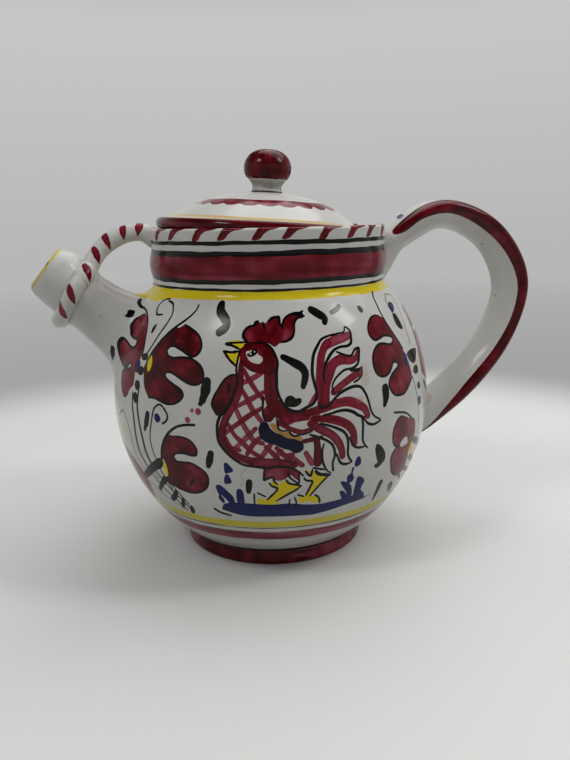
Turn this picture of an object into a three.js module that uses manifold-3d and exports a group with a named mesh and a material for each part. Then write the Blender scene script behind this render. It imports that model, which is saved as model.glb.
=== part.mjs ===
// Glazed earthenware oil jug: a round pot on a disc foot, with a short spout held by a looped
// coil, a strap handle, and a domed lid that rests askew on the rim, one edge up on the lip.
// Millimetres. Origin at the centre of the foot's underside, +Z up, spout to -X, handle to +X.
import * as THREE from "three";
import { mergeVertices } from "three/addons/utils/BufferGeometryUtils.js";
import Module from "manifold-3d";

// Joints between clay pieces
const LUTE_GAP = 0.3; // the slip between two pieces that are stuck together
const REST_GAP = 0.3; // between the loose lid and what it rests on

// Foot
const FOOT_RADIUS = 42.2;
const FOOT_TAPER = 0.6; // how much narrower the foot is at its top
const FOOT_HEIGHT = 7;
const FOOT_ROUND = 0.9;

// Belly, two half ellipses that meet at the widest point
const BELLY_RADIUS = 73.2;
const BELLY_HEIGHT = 70.3; // height of the widest point above the table
const BELLY_LOWER = 77.5; // half height of the lower ellipse
const BELLY_UPPER = 73.7; // half height of the upper ellipse
const WALL = 5;
const FLOOR = 6;

// Lid
const LID_RADIUS = 49.1;
const LID_EDGE = 4.9; // thickness of the rounded edge
const LID_CORNER = 1.5; // rounding of the edge's lower corner
const LID_SEAT = 4.5; // width of the flat underside that sits on the ledge
const LID_RISE = 13.1; // from the edge's top to the flat under the knob
const LID_WALL = 5;
const LID_SHIFT = -1; // the lid lies this far towards the spout
const KNOB_RADIUS = 10.5;
const KNOB_HEIGHT = 18.2;
const KNOB_WAIST = 6.4;
const KNOB_FOOT = 8.2;

// Neck and rim, sized from the lid they hold
const LID_CLEARANCE = 0.5;
const LIP_THICKNESS = 3.4;
const LIP_ROUND = 1.3;
const GALLERY_DEPTH = 6.4; // from the rim's top to the ledge under the lid
const LEDGE_WIDTH = 4.6;
const LEDGE_THICKNESS = 4;
const NECK_HEIGHT = 28.8; // from where the belly ends to the rim's top
const NECK_INSET = 0.4; // the neck is this much narrower than the rim
const SHOULDER_ROUND = 4; // height of the hollow curve from belly to neck
const BAND_RAISE = 7.8; // from where the belly ends to the swelling band's lower edge
const BAND_HEIGHT = 11.5;
const BAND_SWELL = 1;

// Spout
const SPOUT_SLOPE = 42; // degrees above level
const SPOUT_ROOT = 31.4; // its axis leaves the belly this far above the widest point
const SPOUT_LENGTH = 43.6; // from the belly to the mouth along the axis
const MOUTH_RADIUS = 10.8;
const SPOUT_NECK = 12.8; // radius where the cone begins to spread
const SPOUT_BASE = 21.5; // radius at the lower end, on the belly
const SPOUT_WALL = 3;
const POUR_HOLE = 8.5;

// Coil round the spout, and its loop up to the rim
const COLLAR_WIDTH = 6.6;
const COLLAR_HEIGHT = 4.6; // how far it stands out from the spout
const COLLAR_BACK = 16.4; // behind the mouth, along the axis
const COLLAR_LEAN = 9; // degrees more upright than the mouth
const LOOP_THICKNESS = 6.9;
const LOOP_RISE = 0.9; // the top of the loop's middle line is this far under the rim's top
const LOOP_ROOT = 4.6; // where the middle line meets the rim, below its top

// Handle
const STRAP_WIDTH = 26;
const STRAP_EDGE = 6.6; // thickness along the painted edges
const STRAP_THICKNESS = 13; // over the rib on the inner face
const HANDLE_REACH = 126.3; // outermost point from the pot's axis
const HANDLE_PEAK = 10.1; // highest point, above the rim
const HANDLE_SIDE = 30; // height of the outermost point, below the rim
const HANDLE_TOP_ROOT = 19; // where the strap's middle leaves the neck, below the rim
const HANDLE_LOW_ROOT = 18.5; // where it comes back, below the belly's widest point

// Facets
const TURNS = 48;
const FINE = 28;

const GLAZE = new THREE.Color(0xd8d7d2);
const CRIMSON = new THREE.Color(0x6d1526);

const wasm = await Module();
wasm.setup();

// A geometry as a solid for joining and cutting.
function solidOf(geometry) {
  const source = geometry.index ? geometry.toNonIndexed() : geometry;
  const bare = new THREE.BufferGeometry();
  bare.setAttribute("position", source.getAttribute("position").clone());
  const welded = mergeVertices(bare, 1e-4);
  return new wasm.Manifold(
    new wasm.Mesh({
      numProp: 3,
      vertProperties: welded.attributes.position.array,
      triVerts: new Uint32Array(welded.index.array),
    }),
  );
}

// A solid back as a geometry with flat shading.
function geometryOf(solid) {
  const mesh = solid.getMesh();
  const shape = new THREE.BufferGeometry();
  shape.setAttribute("position", new THREE.BufferAttribute(new Float32Array(mesh.vertProperties), 3));
  shape.setIndex(new THREE.BufferAttribute(new Uint32Array(mesh.triVerts), 1));
  const flat = shape.toNonIndexed();
  flat.computeVertexNormals();
  return flat;
}

// A profile of [radius, height] points turned round the Z axis.
function turned(profile, segments) {
  const points = profile.map(([r, z]) => new THREE.Vector2(r, z));
  const shape = new THREE.LatheGeometry(points, segments);
  shape.rotateX(Math.PI / 2);
  return shape;
}

// Points on a round from angle a to angle b (degrees) about [r, z].
function round(r, z, radius, a, b, steps) {
  const points = [];
  for (let i = 0; i <= steps; i += 1) {
    const angle = THREE.MathUtils.degToRad(a + ((b - a) * i) / steps);
    points.push([r + radius * Math.cos(angle), z + radius * Math.sin(angle)]);
  }
  return points;
}

// A smooth line through [r, z] points.
function smooth(points, steps) {
  const curve = new THREE.SplineCurve(points.map(([r, z]) => new THREE.Vector2(r, z)));
  return curve.getPoints(steps).map((p) => [p.x, p.y]);
}

// Rings of points joined into one closed skin with flat ends.
function lofted(rings) {
  const count = rings[0].length;
  const corners = [];
  const add = (a, b, c) => corners.push(...a.toArray(), ...b.toArray(), ...c.toArray());
  for (let i = 0; i + 1 < rings.length; i += 1) {
    for (let j = 0; j < count; j += 1) {
      const k = (j + 1) % count;
      add(rings[i][j], rings[i][k], rings[i + 1][k]);
      add(rings[i][j], rings[i + 1][k], rings[i + 1][j]);
    }
  }
  const middle = (ring) => ring.reduce((sum, p) => sum.add(p), new THREE.Vector3()).divideScalar(count);
  const first = middle(rings[0]);
  const last = middle(rings[rings.length - 1]);
  for (let j = 0; j < count; j += 1) {
    const k = (j + 1) % count;
    add(first, rings[0][k], rings[0][j]);
    add(last, rings[rings.length - 1][j], rings[rings.length - 1][k]);
  }
  const shape = new THREE.BufferGeometry();
  shape.setAttribute("position", new THREE.BufferAttribute(new Float32Array(corners), 3));
  shape.computeVertexNormals();
  return shape;
}

// Radius of the belly at a height; a positive growth makes it that much bigger all round.
function bellyRadius(z, growth) {
  const half = (z > BELLY_HEIGHT ? BELLY_UPPER : BELLY_LOWER) + growth;
  const part = Math.min(1, Math.abs(z - BELLY_HEIGHT) / half);
  return (BELLY_RADIUS + growth) * Math.sqrt(1 - part * part);
}

// Height on the upper half of the belly where it has a given radius.
function shoulderHeight(radius, growth) {
  const part = Math.min(1, radius / (BELLY_RADIUS + growth));
  return BELLY_HEIGHT + (BELLY_UPPER + growth) * Math.sqrt(1 - part * part);
}

const galleryRadius = LID_RADIUS + LID_CLEARANCE;
const rimRadius = galleryRadius + LIP_THICKNESS;
const neckRadius = rimRadius - NECK_INSET;
const mouthRadius = galleryRadius - LEDGE_WIDTH;
const potBase = FOOT_HEIGHT + LUTE_GAP;
const bellyEnd = shoulderHeight(neckRadius + SHOULDER_ROUND * 0.875, 0);
const rimTop = bellyEnd + NECK_HEIGHT;
const ledgeHeight = rimTop - GALLERY_DEPTH;

// The outside of the pot from its base edge to the top of the lip.
function outside(growth) {
  const base = potBase - growth;
  const points = [];
  const steps = 15;
  for (let i = 0; i <= steps; i += 1) {
    const z = base + ((bellyEnd - base) * i) / steps;
    points.push([bellyRadius(z, growth), z]);
  }
  points.push([neckRadius + 1.3 + growth, bellyEnd + SHOULDER_ROUND * 0.55]);
  points.push([neckRadius + 0.3 + growth, bellyEnd + SHOULDER_ROUND]);
  for (let i = 0; i <= 6; i += 1) {
    const swell = BAND_SWELL * Math.sin((Math.PI * i) / 6);
    const z = bellyEnd + BAND_RAISE + (BAND_HEIGHT * i) / 6;
    points.push([neckRadius + swell + growth, z]);
  }
  points.push([rimRadius - 0.1 + growth, ledgeHeight + GALLERY_DEPTH * 0.35]);
  return points;
}

// The pot as a plain lump without its hollow, to cut its neighbours to its shape.
function lump(growth) {
  const edge = [rimRadius + growth, rimTop + growth];
  return turned([[0, potBase - growth], ...outside(growth), edge, [0, rimTop + growth]], TURNS);
}

// The pot: outside, lip, gallery for the lid, inside.
function pot() {
  const lip = [
    ...round(rimRadius - LIP_ROUND, rimTop - LIP_ROUND, LIP_ROUND, 0, 90, 3),
    ...round(galleryRadius + LIP_ROUND, rimTop - LIP_ROUND, LIP_ROUND, 90, 180, 3),
  ];
  const ledge = [
    [galleryRadius, ledgeHeight + 0.8],
    [galleryRadius - 0.8, ledgeHeight],
    [mouthRadius + 0.8, ledgeHeight],
    [mouthRadius, ledgeHeight - 0.8],
    [mouthRadius, ledgeHeight - LEDGE_THICKNESS],
    [neckRadius - WALL, ledgeHeight - LEDGE_THICKNESS - 4],
  ];
  const inside = [];
  const top = shoulderHeight(neckRadius - WALL, -WALL);
  const bottom = potBase + FLOOR;
  const steps = 10;
  for (let i = 0; i <= steps; i += 1) {
    const z = top + ((bottom - top) * i) / steps;
    inside.push([bellyRadius(z, -WALL), z]);
  }
  return turned([[0, potBase], ...outside(0), ...lip, ...ledge, ...inside, [0, bottom]], TURNS);
}

const jug = new THREE.Group();
const glazed = new THREE.MeshStandardMaterial({ color: GLAZE, roughness: 0.16, metalness: 0 });
const crimson = new THREE.MeshStandardMaterial({ color: CRIMSON, roughness: 0.16, metalness: 0 });
const bare = new THREE.MeshStandardMaterial({ color: 0xb98763, roughness: 0.9, metalness: 0 });

function add(parent, name, geometry, material) {
  const mesh = new THREE.Mesh(geometry, material);
  mesh.name = name;
  parent.add(mesh);
  return mesh;
}

// Foot, a disc with a flat underside.
const footTop = FOOT_RADIUS - FOOT_TAPER;
const footSide = [
  ...round(FOOT_RADIUS - FOOT_ROUND, FOOT_ROUND, FOOT_ROUND, -90, 0, 3),
  ...round(footTop - FOOT_ROUND, FOOT_HEIGHT - FOOT_ROUND, FOOT_ROUND, 0, 90, 3),
];
add(jug, "foot", turned([[0, 0], ...footSide, [0, FOOT_HEIGHT]], TURNS), bare);

// Spout frame: local +Z runs out along the spout from where its axis leaves the belly.
const slope = THREE.MathUtils.degToRad(SPOUT_SLOPE);
const spoutFrame = new THREE.Group();
const spoutRoot = BELLY_HEIGHT + SPOUT_ROOT;
spoutFrame.position.set(-bellyRadius(spoutRoot, 0), 0, spoutRoot);
spoutFrame.rotation.y = slope - Math.PI / 2;
jug.add(spoutFrame);
jug.updateMatrixWorld(true);
const fromSpout = spoutFrame.matrixWorld;
const toSpout = fromSpout.clone().invert();

const hole = new THREE.CylinderGeometry(POUR_HOLE, POUR_HOLE, 4 * WALL, FINE);
hole.rotateX(Math.PI / 2);
hole.applyMatrix4(fromSpout);
const body = solidOf(pot()).subtract(solidOf(hole));
add(jug, "body", geometryOf(body), glazed);

// Spout: a tube that spreads towards the pot and is cut to the belly's curve.
const spread = SPOUT_LENGTH * 0.22;
function spoutOutside(growth) {
  return [
    [SPOUT_BASE + 4 + growth, -WALL * 3.2],
    [SPOUT_BASE + growth, -WALL * 1.8],
    [(SPOUT_BASE + SPOUT_NECK) / 2 - 0.4 + growth, -2],
    [SPOUT_NECK + 1 + growth, spread],
    [(SPOUT_NECK * 3 + MOUTH_RADIUS) / 4 + growth, SPOUT_LENGTH * 0.5],
    [MOUTH_RADIUS + 1.1 + growth, SPOUT_LENGTH * 0.8],
  ];
}
const mouthRound = SPOUT_WALL * 0.42;
const spoutProfile = [
  ...smooth(spoutOutside(0), 10),
  ...round(MOUTH_RADIUS - mouthRound, SPOUT_LENGTH - mouthRound, mouthRound, 0, 90, 4),
  ...round(MOUTH_RADIUS - SPOUT_WALL + mouthRound, SPOUT_LENGTH - mouthRound, mouthRound, 90, 180, 4),
  [MOUTH_RADIUS - SPOUT_WALL, SPOUT_LENGTH * 0.7],
  [POUR_HOLE, SPOUT_LENGTH * 0.4],
  [POUR_HOLE, -WALL * 3.2],
];
const spoutRing = turned([...spoutProfile, spoutProfile[0]], FINE);
const lumpAtSpout = lump(LUTE_GAP);
lumpAtSpout.applyMatrix4(toSpout);
const spout = solidOf(spoutRing).subtract(solidOf(lumpAtSpout));
add(spoutFrame, "spout", geometryOf(spout), glazed);

// The spout as a plain lump, to cut the coil to it.
const spoutLumpProfile = [
  [0, -WALL * 3.2],
  ...smooth(spoutOutside(LUTE_GAP), 10),
  [MOUTH_RADIUS + LUTE_GAP, SPOUT_LENGTH],
  [0, SPOUT_LENGTH],
];
const spoutLump = solidOf(turned(spoutLumpProfile, FINE));

// Coil round the spout.
const collarFrame = new THREE.Group();
collarFrame.position.set(0, 0, SPOUT_LENGTH - COLLAR_BACK);
collarFrame.rotation.y = -THREE.MathUtils.degToRad(COLLAR_LEAN);
spoutFrame.add(collarFrame);
jug.updateMatrixWorld(true);
const collarRoot = SPOUT_NECK - 2;
const collarReach = SPOUT_NECK + COLLAR_HEIGHT;
function collarProfile(growth) {
  const points = [[collarRoot, -COLLAR_WIDTH / 2 - growth]];
  const start = collarReach - COLLAR_WIDTH * 0.55;
  for (let i = 0; i <= 8; i += 1) {
    const angle = (Math.PI * i) / 8 - Math.PI / 2;
    const reach = COLLAR_WIDTH * 0.55 + growth;
    points.push([start + reach * Math.cos(angle), (COLLAR_WIDTH / 2 + growth) * Math.sin(angle)]);
  }
  points.push([collarRoot, COLLAR_WIDTH / 2 + growth]);
  return [...points, points[0]];
}
const spoutAtCollar = spoutLump.transform(collarFrame.matrix.clone().invert().elements);
const collar = solidOf(turned(collarProfile(0), FINE)).subtract(spoutAtCollar);
add(collarFrame, "spout_collar", geometryOf(collar), glazed);

// Loop of coil from the top of the collar to the rim.
const collarTop = new THREE.Vector3(collarReach - COLLAR_HEIGHT * 0.3, 0, 0);
collarTop.applyMatrix4(collarFrame.matrixWorld);
const loopEnd = new THREE.Vector3(-rimRadius + 2, 0, rimTop - LOOP_ROOT);
const loopSpan = loopEnd.x - collarTop.x;
const loopClimb = rimTop - LOOP_RISE - collarTop.z;
const loopPath = new THREE.CatmullRomCurve3([
  collarTop,
  new THREE.Vector3(collarTop.x + loopSpan * 0.075, 0, collarTop.z + loopClimb * 0.37),
  new THREE.Vector3(collarTop.x + loopSpan * 0.275, 0, collarTop.z + loopClimb * 0.78),
  new THREE.Vector3(collarTop.x + loopSpan * 0.6, 0, collarTop.z + loopClimb),
  new THREE.Vector3(collarTop.x + loopSpan * 0.84, 0, collarTop.z + loopClimb * 0.93),
  loopEnd,
]);

// Rings of a section along a path in the XZ plane; section(t) gives [outward, sideways] points.
function swept(path, section, steps) {
  const rings = [];
  for (let i = 0; i <= steps; i += 1) {
    const t = i / steps;
    const at = path.getPointAt(t);
    const along = path.getTangentAt(t);
    const out = new THREE.Vector3(-along.z, 0, along.x);
    const side = new THREE.Vector3(0, -1, 0);
    const ring = section(t).map(([n, s]) =>
      at.clone().addScaledVector(out, n).addScaledVector(side, s),
    );
    rings.push(ring);
  }
  return lofted(rings);
}

function coilSection(t) {
  const flare = 1 + 0.12 * Math.exp(-12 * t) + 0.22 * Math.exp(-14 * (1 - t));
  const radius = (LOOP_THICKNESS / 2) * flare;
  const points = [];
  for (let i = 0; i < 12; i += 1) {
    const angle = (2 * Math.PI * i) / 12;
    points.push([radius * Math.cos(angle), radius * Math.sin(angle)]);
  }
  return points;
}
const potLump = solidOf(lump(LUTE_GAP));
const collarLump = solidOf(turned(collarProfile(LUTE_GAP), FINE));
const loop = solidOf(swept(loopPath, coilSection, 18))
  .subtract(potLump)
  .subtract(collarLump.transform(collarFrame.matrixWorld.elements))
  .subtract(spoutLump.transform(fromSpout.elements));
add(jug, "bridge", geometryOf(loop), glazed);

// Handle: a strap with a rib along its inner face, spread at both ends.
const half = STRAP_THICKNESS / 2;
const handleTop = rimTop + HANDLE_PEAK - half;
const handleOut = HANDLE_REACH - half;
const sideZ = rimTop - HANDLE_SIDE;
const topZ = rimTop - HANDLE_TOP_ROOT;
const lowZ = BELLY_HEIGHT - HANDLE_LOW_ROOT;
const topRoot = neckRadius - WALL;
const lowRoot = bellyRadius(lowZ, 0) - WALL;
const handleSpan = handleOut - topRoot;
const lowSpan = handleOut - lowRoot;
const drop = sideZ - lowZ;
const climb = handleTop - topZ;
const handlePath = new THREE.CatmullRomCurve3([
  new THREE.Vector3(topRoot, 0, topZ - climb * 0.08),
  new THREE.Vector3(topRoot + handleSpan * 0.21, 0, topZ + climb * 0.57),
  new THREE.Vector3(topRoot + handleSpan * 0.5, 0, handleTop),
  new THREE.Vector3(topRoot + handleSpan * 0.83, 0, sideZ + (handleTop - sideZ) * 0.69),
  new THREE.Vector3(handleOut, 0, sideZ),
  new THREE.Vector3(lowRoot + lowSpan * 0.84, 0, sideZ - drop * 0.425),
  new THREE.Vector3(lowRoot + lowSpan * 0.475, 0, lowZ + drop * 0.23),
  new THREE.Vector3(lowRoot, 0, lowZ - drop * 0.05),
]);

function strapSection(t) {
  const top = Math.exp(-14 * t);
  const low = Math.exp(-14 * (1 - t));
  const thick = 1 + 0.5 * top + 0.35 * low;
  const wide = 1 - 0.06 * top - 0.1 * low;
  const side = (STRAP_WIDTH / 2) * wide;
  const edge = STRAP_EDGE * thick;
  const outer = half * thick;
  const rib = STRAP_THICKNESS * thick - edge;
  const points = [
    [outer - edge * 0.2, -side + 0.5],
    [outer, -side * 0.75],
    [outer + 0.3, 0],
    [outer, side * 0.75],
    [outer - edge * 0.2, side - 0.5],
    [outer - edge * 0.5, side],
    [outer - edge * 0.85, side - 0.6],
  ];
  for (let i = 1; i < 8; i += 1) {
    const angle = (Math.PI * i) / 8;
    points.push([outer - edge - rib * Math.sin(angle), side * 0.93 * Math.cos(angle)]);
  }
  points.push([outer - edge * 0.85, -side + 0.6]);
  points.push([outer - edge * 0.5, -side]);
  return points;
}
const handle = solidOf(swept(handlePath, strapSection, 28)).subtract(potLump);
const handleOutside = handle.decompose().sort((a, b) => b.volume() - a.volume())[0];
add(jug, "handle", geometryOf(handleOutside), crimson);

// Where the lid comes to rest: its edge on the lip at the spout side, on the ledge opposite.
function lidRest() {
  const reach = LID_RADIUS - LID_CORNER;
  const lipCentre = galleryRadius + LIP_ROUND;
  const contact = LID_CORNER + LIP_ROUND + REST_GAP;
  let tilt = 0.07;
  let height = rimTop;
  for (let pass = 0; pass < 30; pass += 1) {
    const sin = Math.sin(tilt);
    const cos = Math.cos(tilt);
    height = 0;
    for (let degrees = 0; degrees <= 120; degrees += 1) {
      const angle = THREE.MathUtils.degToRad(degrees);
      const x = LID_SHIFT - reach * Math.cos(angle) * cos + LID_CORNER * sin;
      const y = reach * Math.sin(angle);
      const apart = Math.max(0, lipCentre - Math.hypot(x, y));
      const over = Math.sqrt(Math.max(0, contact * contact - apart * apart));
      const needed = rimTop - LIP_ROUND + over - reach * Math.cos(angle) * sin - LID_CORNER * cos;
      if (apart < contact) height = Math.max(height, needed);
    }
    const low = ledgeHeight + REST_GAP + LID_CORNER;
    tilt = Math.asin(Math.max(0, Math.min(0.2, (height + LID_CORNER * cos - low) / reach)));
  }
  return { height, tilt };
}

// Lid group, tilted as it rests; its local origin is the middle of the lid's underside.
const rest = lidRest();
const lidFrame = new THREE.Group();
lidFrame.position.set(LID_SHIFT, 0, rest.height);
lidFrame.rotation.y = rest.tilt;
jug.add(lidFrame);

const lidTop = LID_EDGE + LID_RISE;
const flat = KNOB_FOOT + 0.6;
const dome = LID_RADIUS - 2.7 - flat;
const lidOutside = [
  ...round(LID_RADIUS - LID_CORNER, LID_CORNER, LID_CORNER, -90, 0, 4),
  [LID_RADIUS - 0.1, LID_EDGE * 0.5],
  [LID_RADIUS - 0.7, LID_EDGE * 0.8],
  ...smooth(
    [
      [LID_RADIUS - 2.7, LID_EDGE],
      [flat + dome * 0.89, LID_EDGE + LID_RISE * 0.15],
      [flat + dome * 0.7, LID_EDGE + LID_RISE * 0.36],
      [flat + dome * 0.55, LID_EDGE + LID_RISE * 0.6],
      [flat + dome * 0.28, LID_EDGE + LID_RISE * 0.85],
      [flat, lidTop],
    ],
    9,
  ),
];
const seat = LID_RADIUS - LID_SEAT - LID_CORNER;
const lidInside = [
  [0, lidTop - LID_WALL],
  [flat, lidTop - LID_WALL],
  [flat + (seat - flat) * 0.3, LID_EDGE + LID_RISE * 0.83 - LID_WALL],
  [flat + (seat - flat) * 0.6, LID_EDGE + LID_RISE * 0.55 - LID_WALL],
  [flat + (seat - flat) * 0.85, LID_RISE * 0.14],
  [seat, 0],
];
add(lidFrame, "lid", turned([...lidInside, ...lidOutside, [0, lidTop]], TURNS), glazed);

// Knob: a flattened ball on a short waist.
const knobFrame = new THREE.Group();
knobFrame.position.z = lidTop + LUTE_GAP;
lidFrame.add(knobFrame);
const ball = (KNOB_HEIGHT * 0.87) / 2;
const ballStart = -Math.PI * 0.28;
const knobProfile = [
  [0, 0],
  [KNOB_FOOT - 0.4, 0],
  [KNOB_FOOT, 0.5],
  [KNOB_WAIST + 0.5, 1.3],
  [KNOB_WAIST, 2.2],
];
for (let i = 0; i < 12; i += 1) {
  const angle = ballStart + ((Math.PI / 2 - ballStart) * i) / 12;
  knobProfile.push([KNOB_RADIUS * Math.cos(angle), KNOB_HEIGHT - ball + ball * Math.sin(angle)]);
}
knobProfile.push([0, KNOB_HEIGHT]);
add(knobFrame, "lid_knob", turned(knobProfile, FINE), crimson);

export default jug;
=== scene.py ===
"""Looks of a glazed, hand-painted oil jug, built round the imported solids. Working lengths are in mm."""
import math

import bpy
import numpy as np
from mathutils import Matrix, Vector
from mathutils.geometry import delaunay_2d_cdt


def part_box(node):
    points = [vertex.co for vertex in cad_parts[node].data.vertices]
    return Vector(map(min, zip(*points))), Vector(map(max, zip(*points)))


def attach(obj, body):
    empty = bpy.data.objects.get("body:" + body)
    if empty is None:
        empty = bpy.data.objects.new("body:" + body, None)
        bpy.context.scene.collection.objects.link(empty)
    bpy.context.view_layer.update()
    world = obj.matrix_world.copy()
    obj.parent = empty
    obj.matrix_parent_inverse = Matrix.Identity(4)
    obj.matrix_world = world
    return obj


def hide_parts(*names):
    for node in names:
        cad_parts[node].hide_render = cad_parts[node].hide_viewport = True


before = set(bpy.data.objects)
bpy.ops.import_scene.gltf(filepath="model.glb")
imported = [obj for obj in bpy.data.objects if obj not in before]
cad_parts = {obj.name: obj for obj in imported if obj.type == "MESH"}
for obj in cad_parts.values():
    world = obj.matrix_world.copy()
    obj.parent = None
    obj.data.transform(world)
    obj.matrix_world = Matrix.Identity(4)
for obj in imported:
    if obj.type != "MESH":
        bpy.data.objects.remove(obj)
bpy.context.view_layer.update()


def paint_colour(red, green, blue):
    """Linear colour of an 8-bit screen colour."""
    values = np.array([red, green, blue]) / 255
    return np.where(values <= 0.04045, values / 12.92, ((values + 0.055) / 1.055) ** 2.4)


# Glaze and pigments
WHITE = paint_colour(214, 213, 208)
CRIMSON = paint_colour(130, 17, 35)
BLACK = paint_colour(10, 10, 11)
NAVY = paint_colour(13, 28, 88)
DARK_NAVY = paint_colour(6, 4, 44)
YELLOW = paint_colour(232, 209, 30)
DULL_YELLOW = paint_colour(218, 203, 70)
OCHRE = paint_colour(190, 144, 74)
LID_OCHRE = paint_colour(212, 178, 104)
TAN = paint_colour(176, 140, 96)
GREY = paint_colour(84, 86, 88)
RUST = paint_colour(150, 106, 44)
CLAY = paint_colour(178, 138, 106)

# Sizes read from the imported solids
def box_mm(node):
    """Lowest and highest corner of a solid."""
    low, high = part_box(node)
    return np.array(low) * 1000, np.array(high) * 1000


BELLY_RADIUS = box_mm("body")[1][1]
POT_BASE = box_mm("body")[0][2]
RIM_TOP = box_mm("body")[1][2]
FOOT_RADIUS = box_mm("foot")[1][0]
FOOT_HEIGHT = box_mm("foot")[1][2]

# Pot, as turned in the source
BELLY_HEIGHT = 70.3
BELLY_LOWER = 77.5
BELLY_UPPER = 73.7
WALL = 5.0
FLOOR = 6.0
RIM_RADIUS = 53.0
NECK_RADIUS = 52.6
GALLERY_RADIUS = 49.6
MOUTH_RADIUS = 45.0
LIP_ROUND = 1.3
LEDGE = RIM_TOP - 6.4
BELLY_END = RIM_TOP - 28.8
BAND_START = BELLY_END + 7.8
BAND_HEIGHT = 11.5
BAND_SWELL = 1.1

# Spout, collar and loop
SPOUT_SLOPE = math.radians(42)
SPOUT_HEIGHT = 101.7
SPOUT_LENGTH = 43.6
SPOUT_MOUTH = 10.8
SPOUT_WALL = 3.0
POUR_HOLE = 8.5

# Radius of a turned line where it reaches its axis
AT_AXIS = 0.02

# Points in the same small cube become one: cubes per mm, and their shift off round numbers
WELD_STEPS = 500
WELD_SHIFT = 0.137

# One degree round the belly, in mm along it
DEGREE = BELLY_RADIUS * math.pi / 180


def smooth_run(points, step, closed):
    """Centripetal curve through points without corners."""
    if len(points) == 2 and not closed:
        count = max(2, int(np.ceil(np.linalg.norm(points[1] - points[0]) / step)))
        return points[0] + (points[1] - points[0]) * np.linspace(0, 1, count + 1)[:, None]
    before = points[-2] if closed else 2 * points[0] - points[1]
    after = points[1] if closed else 2 * points[-1] - points[-2]
    row = np.vstack([before, points, after])
    line = []
    for index in range(1, len(row) - 2):
        p0, p1, p2, p3 = row[index - 1:index + 3]
        d1, d2, d3 = (math.sqrt(np.linalg.norm(b - a)) for a, b in ((p0, p1), (p1, p2), (p2, p3)))
        m1 = d2 * ((p1 - p0) / d1 - (p2 - p0) / (d1 + d2) + (p2 - p1) / d2)
        m2 = d2 * ((p2 - p1) / d2 - (p3 - p1) / (d2 + d3) + (p3 - p2) / d3)
        count = max(2, int(np.ceil(np.linalg.norm(p2 - p1) / step)))
        t = np.linspace(0, 1, count, endpoint=False)[:, None]
        line.append(
            (2 * t**3 - 3 * t**2 + 1) * p1 + (t**3 - 2 * t**2 + t) * m1
            + (3 * t**2 - 2 * t**3) * p2 + (t**3 - t**2) * m2
        )
    if not closed:
        line.append(points[-1:])
    return np.vstack(line)


def curve(points, step=0.6, closed=False):
    """A smooth line through points; a doubled point is a corner."""
    row = np.array(points, float)
    corners = [i for i in range(len(row) - 1) if np.allclose(row[i], row[i + 1])]
    if not corners:
        return smooth_run(np.vstack([row, row[:1]]) if closed else row, step, closed)
    runs = np.split(row, [i + 1 for i in corners])
    if closed:
        runs[0] = np.vstack([runs.pop(), runs[0]]) if len(runs) > 1 else runs[0]
    return np.vstack([smooth_run(run, step, False) for run in runs if len(run) > 1])


def lengths(line):
    """Distance along a line at each of its points."""
    return np.concatenate([[0], np.cumsum(np.linalg.norm(np.diff(line, axis=0), axis=1))])


def ripple(x, y, seed):
    """Smooth irregular variation between about -1 and 1."""
    chance = np.random.default_rng(seed)
    total = np.zeros_like(x)
    for _ in range(6):
        angle = chance.uniform(0, 2 * np.pi)
        turns = chance.uniform(0.6, 1.9)
        phase = chance.uniform(0, 7)
        total += np.sin(turns * (x * np.cos(angle) + y * np.sin(angle)) + phase)
    return np.clip(total / 3, -1, 1)


def inside(points, loop):
    """Which points a loop winds round."""
    result = np.zeros(len(points), bool)
    near = np.flatnonzero(((points >= loop.min(0)) & (points <= loop.max(0))).all(1))
    if len(near):
        x, y = points[near, 0, None], points[near, 1, None]
        x0, y0 = loop.T
        x1, y1 = np.roll(loop, -1, 0).T
        side = (x1 - x0) * (y - y0) - (x - x0) * (y1 - y0)
        rising = ((y0 <= y) & (y1 > y) & (side > 0)).sum(1)
        falling = ((y0 > y) & (y1 <= y) & (side < 0)).sum(1)
        result[near] = rising != falling
    return result


def to_line(points, line):
    """Distance of each point to a line, and how far along the line its nearest place is."""
    start, step = line[:-1], np.diff(line, axis=0)
    size = np.maximum((step**2).sum(1), 1e-9)
    gap = points[:, None] - start
    t = np.clip((gap * step).sum(2) / size, 0, 1)
    away = np.linalg.norm(gap - t[..., None] * step, axis=2)
    best = away.argmin(1)
    row = np.arange(len(points))
    return away[row, best], lengths(line)[best] + t[row, best] * np.sqrt(size[best])


class Mark:
    """One brush mark: its outline and how thickly its pigment lies."""

    def __init__(self, pigment, outline, spine, wash, cover, fade, seed):
        self.pigment = np.array(pigment)
        self.outline = outline
        self.spine = spine
        self.wash = wash
        self.cover = cover
        self.fade = fade
        self.seed = seed

    def covers(self, points):
        return inside(points, self.outline)

    def thickness(self, points):
        edge = to_line(points, np.vstack([self.outline, self.outline[:1]]))[0]
        if self.spine is None:
            x, y = points.T / 2.4
            grain = ripple(x, y, self.seed) + 0.5 * ripple(3 * x, 3 * y, self.seed + 1)
            along = np.zeros(len(points))
        else:
            across, way = to_line(points, self.spine)
            along = way / max(1e-6, lengths(self.spine)[-1])
            grain = ripple(way / 6, across / 0.45, self.seed)
        lay = self.cover * (1 - self.fade * along)
        if self.wash:
            return lay * np.clip(1.05 + 0.34 * grain + 0.25 * np.exp(-edge / 0.4), 0.3, 2)
        return lay


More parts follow.
